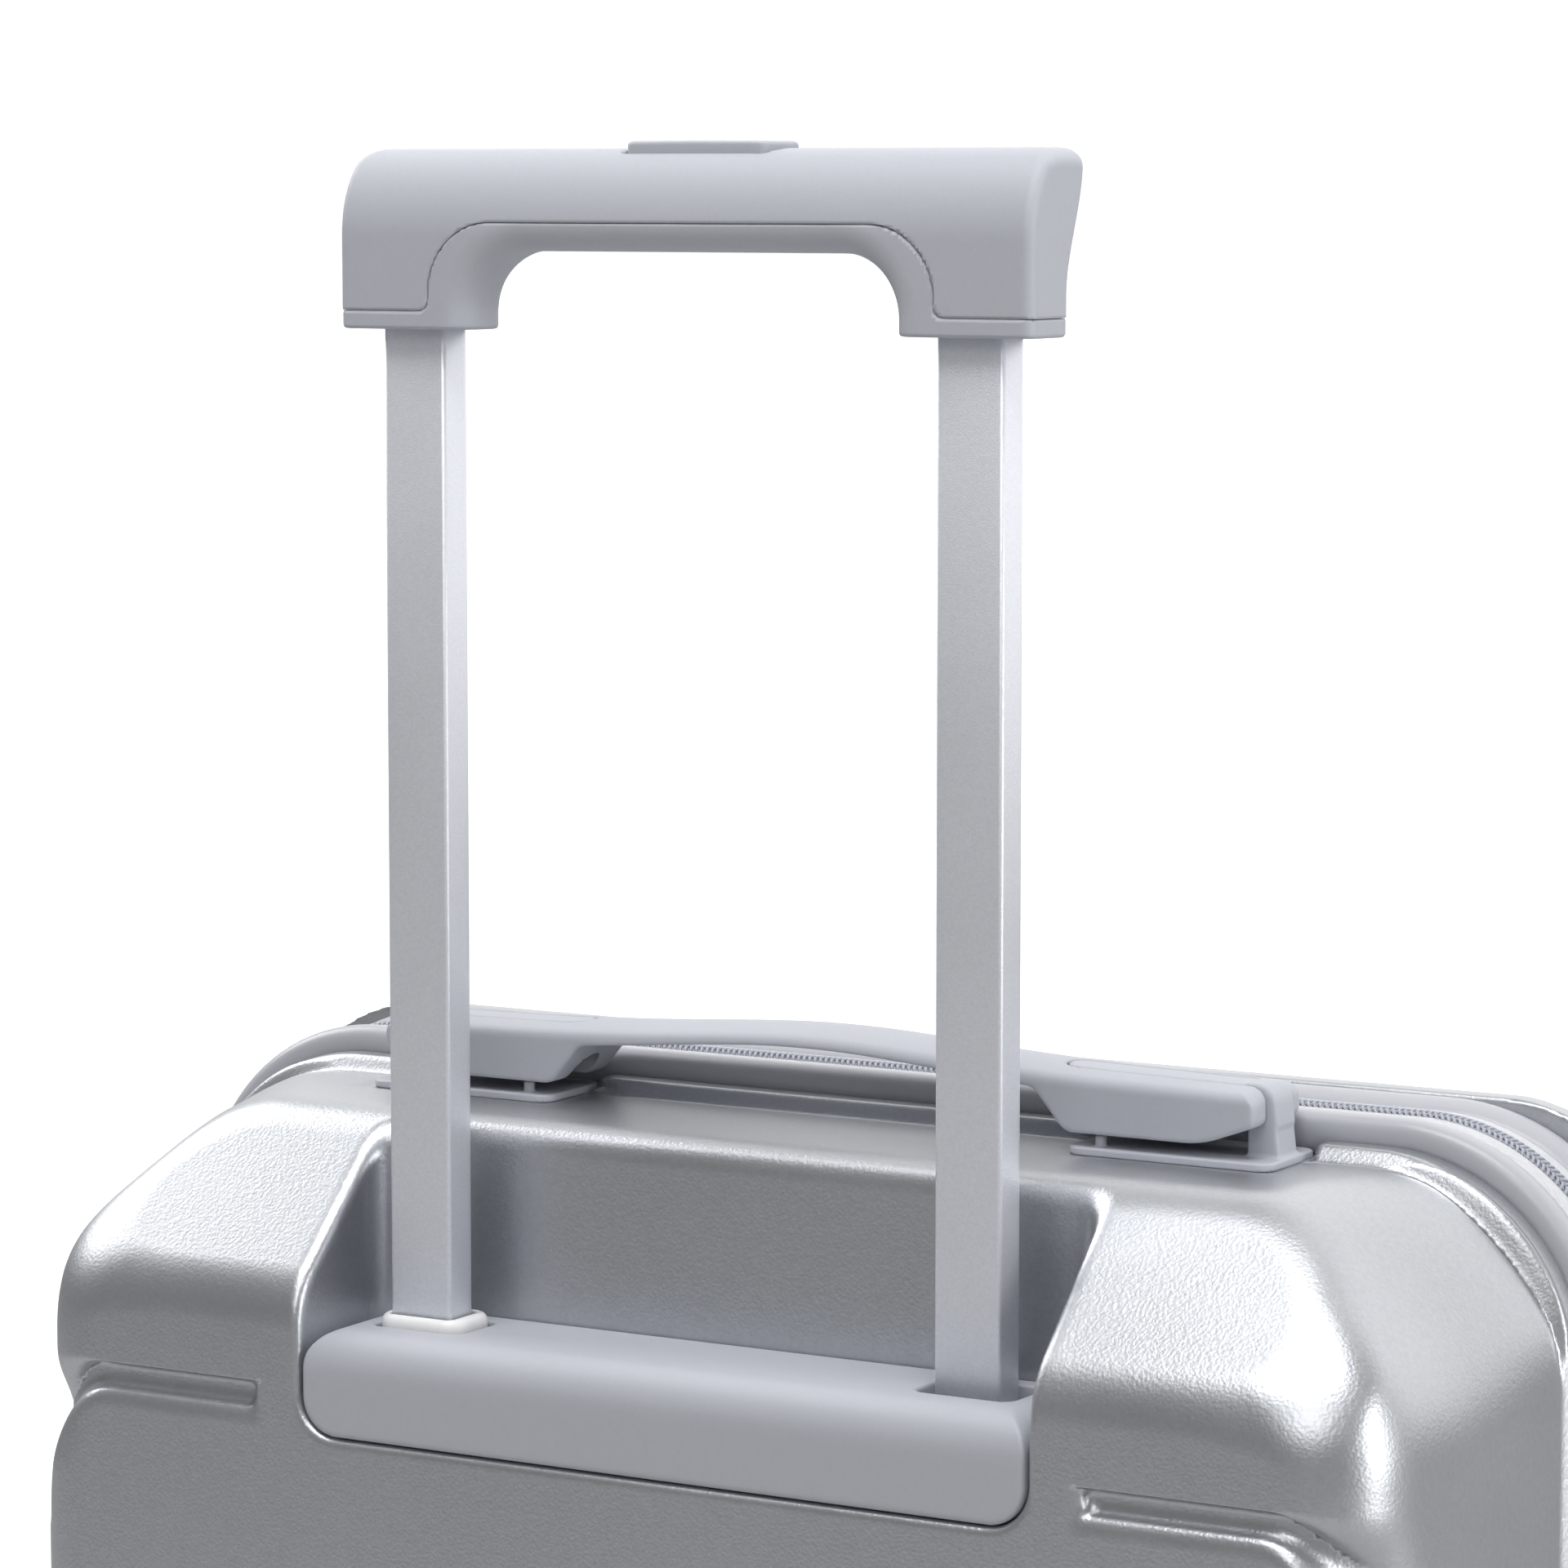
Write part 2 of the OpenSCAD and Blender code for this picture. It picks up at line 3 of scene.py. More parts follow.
import bpy
import numpy as np
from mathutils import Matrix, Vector


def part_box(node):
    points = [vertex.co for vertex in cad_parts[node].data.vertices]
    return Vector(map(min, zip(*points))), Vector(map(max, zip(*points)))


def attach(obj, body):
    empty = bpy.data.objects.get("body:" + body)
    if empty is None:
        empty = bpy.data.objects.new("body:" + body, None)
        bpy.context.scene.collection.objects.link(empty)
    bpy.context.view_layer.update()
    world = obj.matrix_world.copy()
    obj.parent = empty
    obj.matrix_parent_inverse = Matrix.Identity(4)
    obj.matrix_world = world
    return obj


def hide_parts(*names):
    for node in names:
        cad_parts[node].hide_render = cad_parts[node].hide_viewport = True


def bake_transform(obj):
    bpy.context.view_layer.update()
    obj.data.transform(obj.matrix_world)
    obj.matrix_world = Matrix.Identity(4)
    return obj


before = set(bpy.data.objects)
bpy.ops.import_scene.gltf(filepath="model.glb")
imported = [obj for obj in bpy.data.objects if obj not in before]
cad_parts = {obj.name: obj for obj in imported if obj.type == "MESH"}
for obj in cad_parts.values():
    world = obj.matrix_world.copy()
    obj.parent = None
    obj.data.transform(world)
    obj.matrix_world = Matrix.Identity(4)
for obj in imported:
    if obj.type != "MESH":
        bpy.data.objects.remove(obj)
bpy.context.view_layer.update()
MM = 0.001


# ---- places, in millimetres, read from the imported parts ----
def low(node, axis):
    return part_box(node)[0][axis] / MM


def high(node, axis):
    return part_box(node)[1][axis] / MM


X, Y, Z = 0, 1, 2
FACE_Y = low("rear_shell", Y)
SEAM_Y = high("rear_shell", Y)
DEPTH = SEAM_Y - FACE_Y
RIM_X = high("rear_piping", X)
RIM_LOW = low("rear_piping", Z)
RIM_HIGH = high("rear_piping", Z)
RIM_R = 52.0
BEAD_Y = high("rear_piping", Y)
SHELL_X = RIM_X - 4.0
MID_Z = (RIM_LOW + RIM_HIGH) / 2
TOP_Z = RIM_HIGH - 9.5
PANEL_LOW = low("base_panel", Z) - 0.5
PANEL_HIGH = high("base_panel", Z)
POCKET_X = high("base_panel", X) + 0.5
POCKET_DEPTH = 37.0
FIELD_TOP = PANEL_LOW + 5.5
FIELD_DROP = 36.0
FIELD_STEP = 3.8
FIELD_FILLET = 3.4
SHOULDER_DROP = 37.5
SHOULDER_UP, SHOULDER_BACK = 0.7157, 0.698
HALF_ROOT = 0.7071
# the front shell's ridge beyond the rear one's: total height, extra width, change of corner radius
FRONT_RIDGE = (9.8, 4.2, -7.0)
TUBE_Y = (low("inner_tubes", Y) + high("inner_tubes", Y)) / 2
TUBE_X = high("inner_tubes", X) - 8.2
GRIP_LOW = low("grip_liner", Z) - 0.3
GRIP_HIGH = high("grip_cover", Z)
GRIP_X = high("grip_cover", X)
GRIP_Y = low("grip_cover", Y)
LOCK_X = high("lock_body", X)
LOCK_Z = (low("lock_body", Z) + high("lock_body", Z)) / 2
LOCK_Y = (low("lock_body", Y) + high("lock_body", Y)) / 2


# ---- smooth solid modelling: negative inside ----
def smax(a, b, k):
    """Intersection of two forms with a fillet of about k."""
    h = np.clip(k - np.abs(a - b), 0, None)
    return np.maximum(a, b) + h * h / (4 * k)


def smin(a, b, k):
    """Union of two forms with a fillet of about k."""
    return -smax(-a, -b, k)


def ramp(t, a, b):
    """0 before a, 1 after b, smooth between."""
    s = np.clip((t - a) / (b - a), 0, 1)
    return s * s * (3 - 2 * s)


def bell(t, middle, width):
    return np.exp(-(((t - middle) / width) ** 2))


def plate(u, v, cu, cv, hu, hv, r):
    """Rounded rectangle with half sizes hu, hv and corner radius r."""
    du = np.abs(u - cu) - (hu - r)
    dv = np.abs(v - cv) - (hv - r)
    outside = np.hypot(np.maximum(du, 0), np.maximum(dv, 0))
    return outside + np.minimum(np.maximum(du, dv), 0) - r


def slab(t, a, b):
    return np.abs(t - (a + b) / 2) - (b - a) / 2


def convex(u, v, points, k):
    """Convex outline, anticlockwise, with its corners rounded by about k."""
    total = None
    for (au, av), (bu, bv) in zip(points, points[1:] + points[:1]):
        length = math.hypot(bu - au, bv - av)
        d = ((u - au) * (bv - av) - (v - av) * (bu - au)) / length
        total = d if total is None else smax(total, d, k)
    return total


def disc(u, v, cu, cv, r):
    return np.hypot(u - cu, v - cv) - r


# ---- mesh making ----
def lines(stretches):
    """Grid lines from (start, end, step) stretches."""
    marks = [stretches[0][0]]
    for a, b, step in stretches:
        n = max(1, round((b - a) / step))
        marks += [a + (b - a) * i / n for i in range(1, n + 1)]
    return np.array(marks)


def mirrored(stretches):
    return [(-b, -a, s) for a, b, s in reversed(stretches)] + stretches


def mesh_object(name, verts, faces, material, normals=None, smooth=True):
    mesh = bpy.data.meshes.new(name)
    mesh.from_pydata((np.asarray(verts) * MM).tolist(), [], [list(f) for f in faces])
    mesh.validate()
    mesh.polygons.foreach_set("use_smooth", [smooth] * len(mesh.polygons))
    mesh.materials.append(material)
    mesh.update()
    if normals is not None:
        mesh.normals_split_custom_set_from_vertices(normals.tolist())
    obj = bpy.data.objects.new(name, mesh)
    bpy.context.scene.collection.objects.link(obj)
    return obj


def slope(form, p):
    """Value and gradient of a form at points p."""
    e = 0.04
    g = np.empty_like(p)
    for axis in range(3):
        q = p.copy()
        q[:, axis] += e
        r = p.copy()
        r[:, axis] -= e
        g[:, axis] = (form(*q.T) - form(*r.T)) / (2 * e)
    return form(*p.T), g


def skin(form, xs, ys, zs):
    """Vertices, quads and normals of the surface where form is zero, one vertex per crossed cell."""
    gx, gy, gz = np.meshgrid(xs, ys, zs, indexing="ij")
    value = form(gx, gy, gz)
    inside = value < 0
    count = np.zeros(tuple(n - 1 for n in value.shape), np.int8)
    for i in (0, 1):
        for j in (0, 1):
            for k in (0, 1):
                count += inside[
                    i : i + count.shape[0], j : j + count.shape[1], k : k + count.shape[2]
                ]
    cells = np.argwhere((count > 0) & (count < 8))
    index = np.full(count.shape, -1)
    index[tuple(cells.T)] = np.arange(len(cells))
    total = np.zeros((len(cells), 3))
    hits = np.zeros(len(cells))
    corners = [(i, j, k) for i in (0, 1) for j in (0, 1) for k in (0, 1)]
    axes = (xs, ys, zs)
    for a in corners:
        for axis in range(3):
            if a[axis]:
                continue
            b = list(a)
            b[axis] = 1
            ia = cells + a
            ib = cells + b
            va = value[tuple(ia.T)]
            vb = value[tuple(ib.T)]
            cut = (va < 0) != (vb < 0)
            t = np.where(cut, va / np.where(cut, va - vb, 1), 0)
            pa = np.stack([axes[n][ia[:, n]] for n in range(3)], 1)
            pb = np.stack([axes[n][ib[:, n]] for n in range(3)], 1)
            total += np.where(cut[:, None], pa + (pb - pa) * t[:, None], 0)
            hits += cut
    p = total / hits[:, None]
    for _ in range(3):
        f, g = slope(form, p)
        step = f[:, None] * g / np.maximum((g * g).sum(1), 0.05)[:, None]
        size = np.linalg.norm(step, axis=1)[:, None]
        p -= step * np.minimum(1, 0.8 / np.maximum(size, 1e-9))
    faces = []
    for axis in range(3):
        u, v = [n for n in range(3) if n != axis]
        lead = inside.take(range(inside.shape[axis] - 1), axis)
        tail = inside.take(range(1, inside.shape[axis]), axis)
        e = np.argwhere(lead != tail)
        e = e[(e[:, u] > 0) & (e[:, v] > 0)]
        e = e[(e[:, u] < count.shape[u]) & (e[:, v] < count.shape[v])]
        quad = []
        for du, dv in ((-1, -1), (0, -1), (0, 0), (-1, 0)):
            c = e.copy()
            c[:, u] += du
            c[:, v] += dv
            quad.append(index[tuple(c.T)])
        quad = np.stack(quad, 1)
        flip = lead[tuple(e.T)] != (axis == 1)
        quad[~flip] = quad[~flip][:, ::-1]
        faces.append(quad)
    _, g = slope(form, p)
    return p, np.concatenate(faces), g / np.linalg.norm(g, axis=1)[:, None]


def solid(name, form, xs, ys, zs, material):
    p, faces, normals = skin(form, xs, ys, zs)
    return mesh_object(name, p, faces, material, normals)


def reflected(obj, name, axes):
    """A copy of a mesh mirrored in the planes of the given axes."""
    mesh = obj.data
    n = len(mesh.vertices)
    co = np.empty(n * 3)
    mesh.vertices.foreach_get("co", co)
    co = co.reshape(-1, 3) / MM
    normals = np.empty(n * 3)
    mesh.vertices.foreach_get("normal", normals)
    normals = normals.reshape(-1, 3)
    for axis in axes:
        co[:, axis] *= -1
        normals[:, axis] *= -1
    faces = [list(f.vertices) for f in mesh.polygons]
    if len(axes) % 2:
        faces = [f[::-1] for f in faces]
    return mesh_object(name, co, faces, mesh.materials[0], normals)


def grid_faces(rows, cols, closed_rows=False, closed_cols=False):
    r_end = rows if closed_rows else rows - 1
    c_end = cols if closed_cols else cols - 1
    return [
        (
            r * cols + c,
            r * cols + (c + 1) % cols,
            (r + 1) % rows * cols + (c + 1) % cols,
            (r + 1) % rows * cols + c,
        )
        for r in range(r_end)
        for c in range(c_end)
    ]


def lathe(profile, centre, axis, segments=64):
    """Closed profile of (along, radius) turned about an axis through centre."""
    others = [n for n in range(3) if n != axis]
    verts = []
    for i in range(segments):
        angle = 2 * math.pi * i / segments
        for along, radius in profile:
            p = list(centre)
            p[axis] += along
            p[others[0]] += radius * math.cos(angle)
            p[others[1]] += radius * math.sin(angle)
            verts.append(p)
    return verts, grid_faces(segments, len(profile), True, True)


def put(obj, body, slot, *nodes):
    """Rides obj on its body and hides the CAD nodes that it stands for; slot is not used."""
    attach(obj, body)
    if nodes:
        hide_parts(*nodes)
    return obj


# ---- materials ----
def add(tree, kind, inputs=None, **settings):
    node = tree.nodes.new(kind)
    for key, value in settings.items():
        setattr(node, key, value)
    for key, value in (inputs or {}).items():
        if isinstance(value, bpy.types.NodeSocket):
            tree.links.new(value, node.inputs[key])
        else:
            node.inputs[key].default_value = value
    return node


def noise(tree, place, scale, detail=2.0, rough=0.5):
    return add(
        tree,
        "ShaderNodeTexNoise",
        {"Vector": place, "Scale": scale, "Detail": detail, "Roughness": rough},
    ).outputs["Fac"]


def spread(tree, value, lo, hi):
    """Maps a texture's middle range to lo ... hi."""
    return add(
        tree,
        "ShaderNodeMapRange",
        {"Value": value, "From Min": 0.3, "From Max": 0.7, "To Min": lo, "To Max": hi},
    ).outputs["Result"]


def leather_grain(tree, place, scale):
    """Orange-peel grain: soft irregular cells with a finer noise over them."""
    cells = add(
        tree,
        "ShaderNodeTexVoronoi",
        {"Vector": place, "Scale": scale, "Smoothness": 0.6, "Randomness": 1.0},
        feature="SMOOTH_F1",
    ).outputs["Distance"]
    fine = noise(tree, place, scale * 1.6, 3.0)
    return add(tree, "ShaderNodeMath", {0: cells, 1: fine}, operation="ADD").outputs[0]


def fine_grain(tree, place, scale):
    return noise(tree, place, scale, 3.0, 0.6)


def weave_grain(tree, place, scale):
    """Warp and weft as crossed waves."""
    turned = add(
        tree,
        "ShaderNodeMapping",
        {"Vector": place, "Rotation": (0.6, 0.7, 0.785)},
    ).outputs["Vector"]
    waves = [
        add(
            tree,
            "ShaderNodeTexWave",
            {"Vector": turned, "Scale": scale, "Distortion": 0.4, "Detail": 1.0},
            bands_direction=direction,
        ).outputs["Fac"]
        for direction in ("X", "Y")
    ]
    return add(tree, "ShaderNodeMath", {0: waves[0], 1: waves[1]}, operation="MULTIPLY").outputs[0]


def material(name, colour, rough, grain, scale, height, metallic=0.0, mottle=0.05, sheen=0.0):
    """Procedural finish: colour mottle, uneven gloss and a surface grain at its real scale."""
    m = bpy.data.materials.new(name)
    m.use_nodes = True
    tree = m.node_tree
    shader = tree.nodes["Principled BSDF"]
    place = add(tree, "ShaderNodeTexCoord").outputs["Object"]
    tint = add(
        tree,
        "ShaderNodeMix",
        {
            "Factor": spread(tree, noise(tree, place, scale * 0.7, 4.0, 0.65), 0.0, 1.0),
            6: tuple(c * (1 - mottle) for c in colour) + (1.0,),
            7: tuple(min(1.0, c * (1 + mottle)) for c in colour) + (1.0,),
        },
        data_type="RGBA",
    )
    tree.links.new(tint.outputs[2], shader.inputs["Base Color"])
    wear = spread(tree, noise(tree, place, 22.0, 5.0), rough * 0.92, rough * 1.08)
    tree.links.new(wear, shader.inputs["Roughness"])
    bump = add(
        tree,
        "ShaderNodeBump",
        {"Strength": 1.0, "Distance": height * MM, "Height": grain(tree, place, scale)},
    )
    tree.links.new(bump.outputs["Normal"], shader.inputs["Normal"])
    shader.inputs["Metallic"].default_value = metallic
    shader.inputs["Sheen Weight"].default_value = sheen
    return m


SILVER = material("silver_paint", (0.55, 0.565, 0.59), 0.37, leather_grain, 1150.0, 0.04, metallic=0.94)
PLASTIC = material("grey_moulding", (0.46, 0.475, 0.52), 0.52, fine_grain, 1400.0, 0.012, mottle=0.02)
BEAD = material("piping_moulding", (0.44, 0.45, 0.485), 0.32, fine_grain, 900.0, 0.008, mottle=0.015)
ALLOY = material("speckled_alloy", (0.80, 0.82, 0.87), 0.42, fine_grain, 2400.0, 0.07, metallic=0.6)
STEEL = material("satin_steel", (0.52, 0.53, 0.55), 0.3, fine_grain, 1500.0, 0.01, metallic=1.0)
WHITE = material("white_moulding", (0.86, 0.86, 0.86), 0.3, fine_grain, 800.0, 0.004, mottle=0.01)
DARK = material("dark_moulding", (0.05, 0.053, 0.06), 0.45, fine_grain, 1200.0, 0.02, mottle=0.05)
TAPE = material("zip_tape", (0.60, 0.61, 0.64), 0.75, weave_grain, 700.0, 0.10, mottle=0.06, sheen=0.3)
COIL = material("zip_coil", (0.40, 0.42, 0.48), 0.35, fine_grain, 1500.0, 0.01, mottle=0.04)
LINING = material("lining_cloth", (0.15, 0.155, 0.175), 0.8, weave_grain, 420.0, 0.15, mottle=0.08, sheen=0.4)
STRAP = material("strap_webbing", (0.03, 0.032, 0.037), 0.75, weave_grain, 300.0, 0.3, mottle=0.1, sheen=0.3)
TYRE = material("tyre_rubber", (0.06, 0.062, 0.068), 0.6, fine_grain, 900.0, 0.03, mottle=0.06)


# ---- camera, light and floor ----
def aim(obj, target):
    obj.rotation_euler = (Vector(target) - obj.location).to_track_quat("-Z", "Y").to_euler()


def make_camera():
    data = bpy.data.cameras.new("camera")
    data.lens = 130.69
    data.sensor_width = 36.0
    data.clip_end = 50.0
    camera = bpy.data.objects.new("camera", data)
    camera.location = (0.6485, -1.1634, 0.7450)
    camera.rotation_euler = (math.radians(90 - 6.082), 0, math.radians(30.252))
    bpy.context.scene.collection.objects.link(camera)
    bpy.context.scene.camera = camera


def softbox(name, place, target, size, power):
    data = bpy.data.lights.new(name, "AREA")
    data.shape = "RECTANGLE"
    data.size, data.size_y = size
    data.energy = power
    lamp = bpy.data.objects.new(name, data)
    lamp.location = place
    bpy.context.scene.collection.objects.link(lamp)
    aim(lamp, target)


def when_seen(tree, unseen, seen):
    """One value for the camera and another for the light that falls on the case."""
    direct = add(tree, "ShaderNodeLightPath").outputs["Is Camera Ray"]
    return add(tree, "ShaderNodeMix", {"Factor": direct, 2: unseen, 3: seen}, data_type="FLOAT").outputs[0]


def make_world():
    """Dim studio with a wide white screen behind the case; pure white where it is seen."""
    world = bpy.data.worlds.new("studio")
    bpy.context.scene.world = world
    world.use_nodes = True
    tree = world.node_tree
    back = tree.nodes["Background"]
    way = add(tree, "ShaderNodeTexCoord").outputs["Generated"]
    facing = add(tree, "ShaderNodeVectorMath", {0: way, 1: (0.1, 0.91, 0.4)}, operation="DOT_PRODUCT")
    screen = add(
        tree,
        "ShaderNodeMapRange",
        {"Value": facing.outputs["Value"], "From Min": 0.5, "From Max": 0.85, "To Min": 0.23, "To Max": 1.25},
        interpolation_type="SMOOTHSTEP",
    ).outputs["Result"]
    tree.links.new(when_seen(tree, screen, 1.05), back.inputs["Strength"])
    back.inputs["Color"].default_value = (1.0, 1.0, 1.0, 1.0)


def make_floor():
    """Pale floor, pure white where it is seen."""
    half = 60000.0
    n = 2
    verts = [
        (-half + 2 * half * i / n, -half + 2 * half * j / n, 0.0)
        for j in range(n + 1)
        for i in range(n + 1)
    ]
    paint = material("floor_paint", (0.45, 0.45, 0.45), 0.8, fine_grain, 30.0, 0.02, mottle=0.01)
    tree = paint.node_tree
    shader = tree.nodes["Principled BSDF"]
    shader.inputs["Emission Color"].default_value = (1.0, 1.0, 1.0, 1.0)
    tree.links.new(when_seen(tree, 0.0, 1.0), shader.inputs["Emission Strength"])
    mesh_object("floor", verts, grid_faces(n + 1, n + 1), paint)


bpy.context.scene.view_settings.view_transform = "Standard"
make_camera()
make_world()
make_floor()
AIM = (0.0, 0.0, 0.5)
softbox("overhead", (0.15, -0.6, 2.1), AIM, (1.3, 0.95), 21)
softbox("right_side", (2.1, -0.1, 0.8), AIM, (0.6, 1.4), 17)
softbox("left_high", (-1.7, 0.25, 1.75), AIM, (1.3, 1.2), 22)
softbox("front_fill", (0.8, -2.2, 2.0), AIM, (1.0, 1.0), 11)


# ---- shells ----
def shell_body(x, y, z, ridge_h=3.6, ridge_w=0.0, ridge_r=0.0):
    """Outer form shared by both shells; y is the depth from the face. A ridge runs beside the piping."""
    ax = np.abs(x)
    ridge = ramp(y, 82.0, 86.5)
    half_w = SHELL_X - 10.3 * (1 - y / DEPTH) - 1.4 * (1 - ridge) + ridge_w * ridge
    half_h = TOP_Z - MID_Z + ridge_h * ridge
    f = plate(ax, z, 0.0, MID_Z, half_w, half_h, 34.0 + (14.0 + ridge_r) * ridge)
    cut = 36.0 - 9.0 * ramp(y, 34.0, 84.0) + 3.0 * bell(y, 83.0, 2.0) - 17.0 * ridge
    f = smax(f, (ax - half_w + np.abs(z - MID_Z) - half_h + cut) * HALF_ROOT, 12.0)
    aside = ramp(ax, 120.0, 166.0)
    soft = 6.0 + 11.0 * aside + 15.0 * (1 - ramp(z, 70.0, 150.0)) * (1 - aside)
    f = smax(f, -y, soft + 7.0 * aside * ramp(z, FIELD_TOP - 22.0, FIELD_TOP))
    shoulder = (z - (TOP_Z - SHOULDER_DROP)) * SHOULDER_UP - y * SHOULDER_BACK
    return smax(f, shoulder, 6.0 + 4.0 * ramp(ax, 130.0, 170.0))


def field_margin(x, y, z, body):
    """A step round the raised field: a groove above it that sweeps down to the side edge."""
    ax = np.abs(x)
    across = np.clip(ax - 148.0, 0, None) / 24.0
    up = np.clip(z - (FIELD_TOP - FIELD_DROP), 0, None) / FIELD_DROP
    outside = 24.0 * (1 - np.hypot(across, up))
    g = smax(smax(outside, z - (FIELD_TOP + 5.5), 1.2), 107.5 - ax, 2.5)
    g = smax(g, FIELD_TOP - 34.0 - z, 3.0)
    wall = 0.6 + 16.0 * ramp(ax, 150.0, 176.0)
    fade = (1 - ramp(y, 10.0, 34.0)) * np.clip((FIELD_TOP + 6.0 - z) / wall, 0, 1)
    # where it fades out, the step passes clear of the body, so that it leaves no crease
    depth = FIELD_STEP * fade - FIELD_FILLET * (1 - fade)
    return smax(g, -depth - body, 2.2)


def wheel_corner(x, y, z):
    """The corner that each wheel housing takes out of a shell."""
    return np.maximum(np.maximum(106.0 - np.abs(x), y - 71.0), z - 82.0)


def plain_shell(x, y, z, *ridge):
    """One shell as a closed block, capped at the seam, with its raised field and wheel corners."""
    body = shell_body(x, y, z, *ridge)
    f = smax(body, -field_margin(x, y, z, body), FIELD_FILLET)
    f = smax(f, y - DEPTH, 1.2)
    return smax(f, -wheel_corner(x, y, z), 2.5)


def rear_form(x, y, z):
    """Rear shell with the handle's pocket, the seats of the two mounts and the lock's seat."""
    ax = np.abs(x)
    depth = y - FACE_Y
    f = plain_shell(x, depth, z)
    hole = plate(ax, z, 0.0, PANEL_LOW + 150.0, POCKET_X, 150.0, 10.0)
    hole = smax(hole, depth - POCKET_DEPTH, 9.0)
    f = smax(f, -hole, 2.2 + 1.4 * ramp(z, PANEL_HIGH - 8, PANEL_HIGH + 12))
    seat = np.maximum(np.maximum(np.abs(ax - 94.0) - 27.5, 65.0 - depth), TOP_Z - z)
    f = smax(f, -seat, 1.6)
    lock_seat = np.maximum(plate(y, z, LOCK_Y, LOCK_Z, 13.6, 32.2, 5.0), LOCK_X - 15.5 - x)
    return smax(f, -lock_seat, 0.8)


def front_form(x, y, z):
    return plain_shell(x, -y - FACE_Y, z, *FRONT_RIDGE)


def make_shells():
    x_fine = [(0, 86, 5), (86, 98, 0.9), (98, 104, 2), (104, 112, 1), (112, 140, 2.5), (140, 186, 1.4)]
    y_fine = [(-1.5, 8, 0.8), (8, 32, 2.8), (32, 42, 1.1), (42, 62, 2.8), (62, 78, 1.3), (78, 93, 0.75)]
    z_fine = [(44, 52, 1.5), (52, 76, 3), (76, 100, 1.3), (100, 292, 7), (292, 304, 1), (304, 356, 5.2)]
    z_fine += [(356, 368, 1), (368, 424, 7), (424, 454, 1.6)]
    z_fine += [(454, 476, 0.8), (476, 500, 1.5), (500, 520, 2), (520, 535.5, 0.8)]
    rear = solid(
        "rear_shell_moulding",
        rear_form,
        lines(mirrored(x_fine)),
        lines(y_fine) + FACE_Y,
        lines(z_fine),
        SILVER,
    )
    put(rear, "case_rear", "silver_shell", "rear_shell")
    x_wide = mirrored([(0, 100, 6), (100, 112, 1.4), (112, 140, 4), (140, 189.5, 1.8)])
    y_wide = [(-1.5, 8, 1.1), (8, 62, 4), (62, 93, 1.2)]
    z_wide = [(44, 100, 2), (100, 420, 8), (420, 452, 2), (452, 476, 1.2), (476, 539.5, 1.8)]
    front = solid(
        "front_shell_moulding",
        front_form,
        lines(x_wide),
        (-lines(y_wide) - FACE_Y)[::-1],
        lines(z_wide),
        SILVER,
    )
    put(front, "case_front", "silver_shell", "front_shell")


# ---- rim ----
def rim_points():
    """Points of the rim's outline, seen from behind, with their outward normals."""
    points = []
    for sx, sz, start in ((1, -1, -90), (1, 1, 0), (-1, 1, 90), (-1, -1, 180)):
        cx = sx * (RIM_X - RIM_R)
        cz = MID_Z + sz * ((RIM_HIGH - RIM_LOW) / 2 - RIM_R)
        for i in range(25):
            a = math.radians(start + 90 * i / 24)
            n = np.array([math.cos(a), math.sin(a)])
            points.append((np.array([cx, cz]) + RIM_R * n, n))
        p, n = points[-1]
        run = 2 * (RIM_X - RIM_R) if start in (0, 180) else RIM_HIGH - RIM_LOW - 2 * RIM_R
        tangent = np.array([-n[1], n[0]])
        steps = int(run / 9)
        points += [(p + tangent * run * i / steps, n) for i in range(1, steps)]
    return points


RIM = rim_points()
HINGE_LOW = low("hinge_strip", Z) - 0.5
HINGE_HIGH = high("hinge_strip", Z) + 0.5


def at_hinge(p):
    return p[0] < -RIM_X + 1 and HINGE_LOW < p[1] < HINGE_HIGH


def rim_sweep(name, section, mat, gap=False):
    """Sweeps a closed section of (y, inset) round the rim."""
    path = RIM
    if gap:
        after = next(i for i, (p, _) in enumerate(RIM) if at_hinge(p))
        path = [q for q in RIM[after:] + RIM[:after] if not at_hinge(q[0])]
    verts = [
        (p[0] - d * n[0], y, p[1] - d * n[1])
        for p, n in path
        for y, d in section
    ]
    faces = grid_faces(len(path), len(section), not gap, True)
    if gap:
        last = (len(path) - 1) * len(section)
        faces.append(tuple(range(len(section)))[::-1])
        faces.append(tuple(last + i for i in range(len(section))))
    return mesh_object(name, verts, faces, mat)


def bead_section():
    """Rounded bead on a flat root; the crown lies on the rim's outline, on the side away from the zip."""
    crown = SEAM_Y + 4.0
    section = []
    for i in range(21):
        y = SEAM_Y + (BEAD_Y - SEAM_Y) * (1 - math.cos(math.pi * i / 20)) / 2
        if y < crown:
            section.append((y, 3.4 * (1 - (1 - ((crown - y) / 4.0) ** 2.4) ** (1 / 2.4))))
        else:
            t = (y - crown) / (BEAD_Y - crown)
            section.append((y, 2.3 * t**1.8 + 1.0 * max(0.0, t - 0.86) / 0.14))
    return section + [(BEAD_Y, 9.0), (SEAM_Y, 9.0)]


def tape_section():
    """Tape as (y, inset): a fold under the bead, a flat run and a step up to the coil."""
    outer = [(-9.2, 3.2), (-8.5, 2.3), (-7.6, 1.85), (-6.0, 1.7), (-4.4, 1.65)]
    outer += [(-3.1, 1.7), (-2.7, 2.0), (-0.9, 2.1), (-0.3, 2.3)]
    return outer + [(-0.3, 3.2), (-4.0, 3.3), (-9.2, 3.6)]


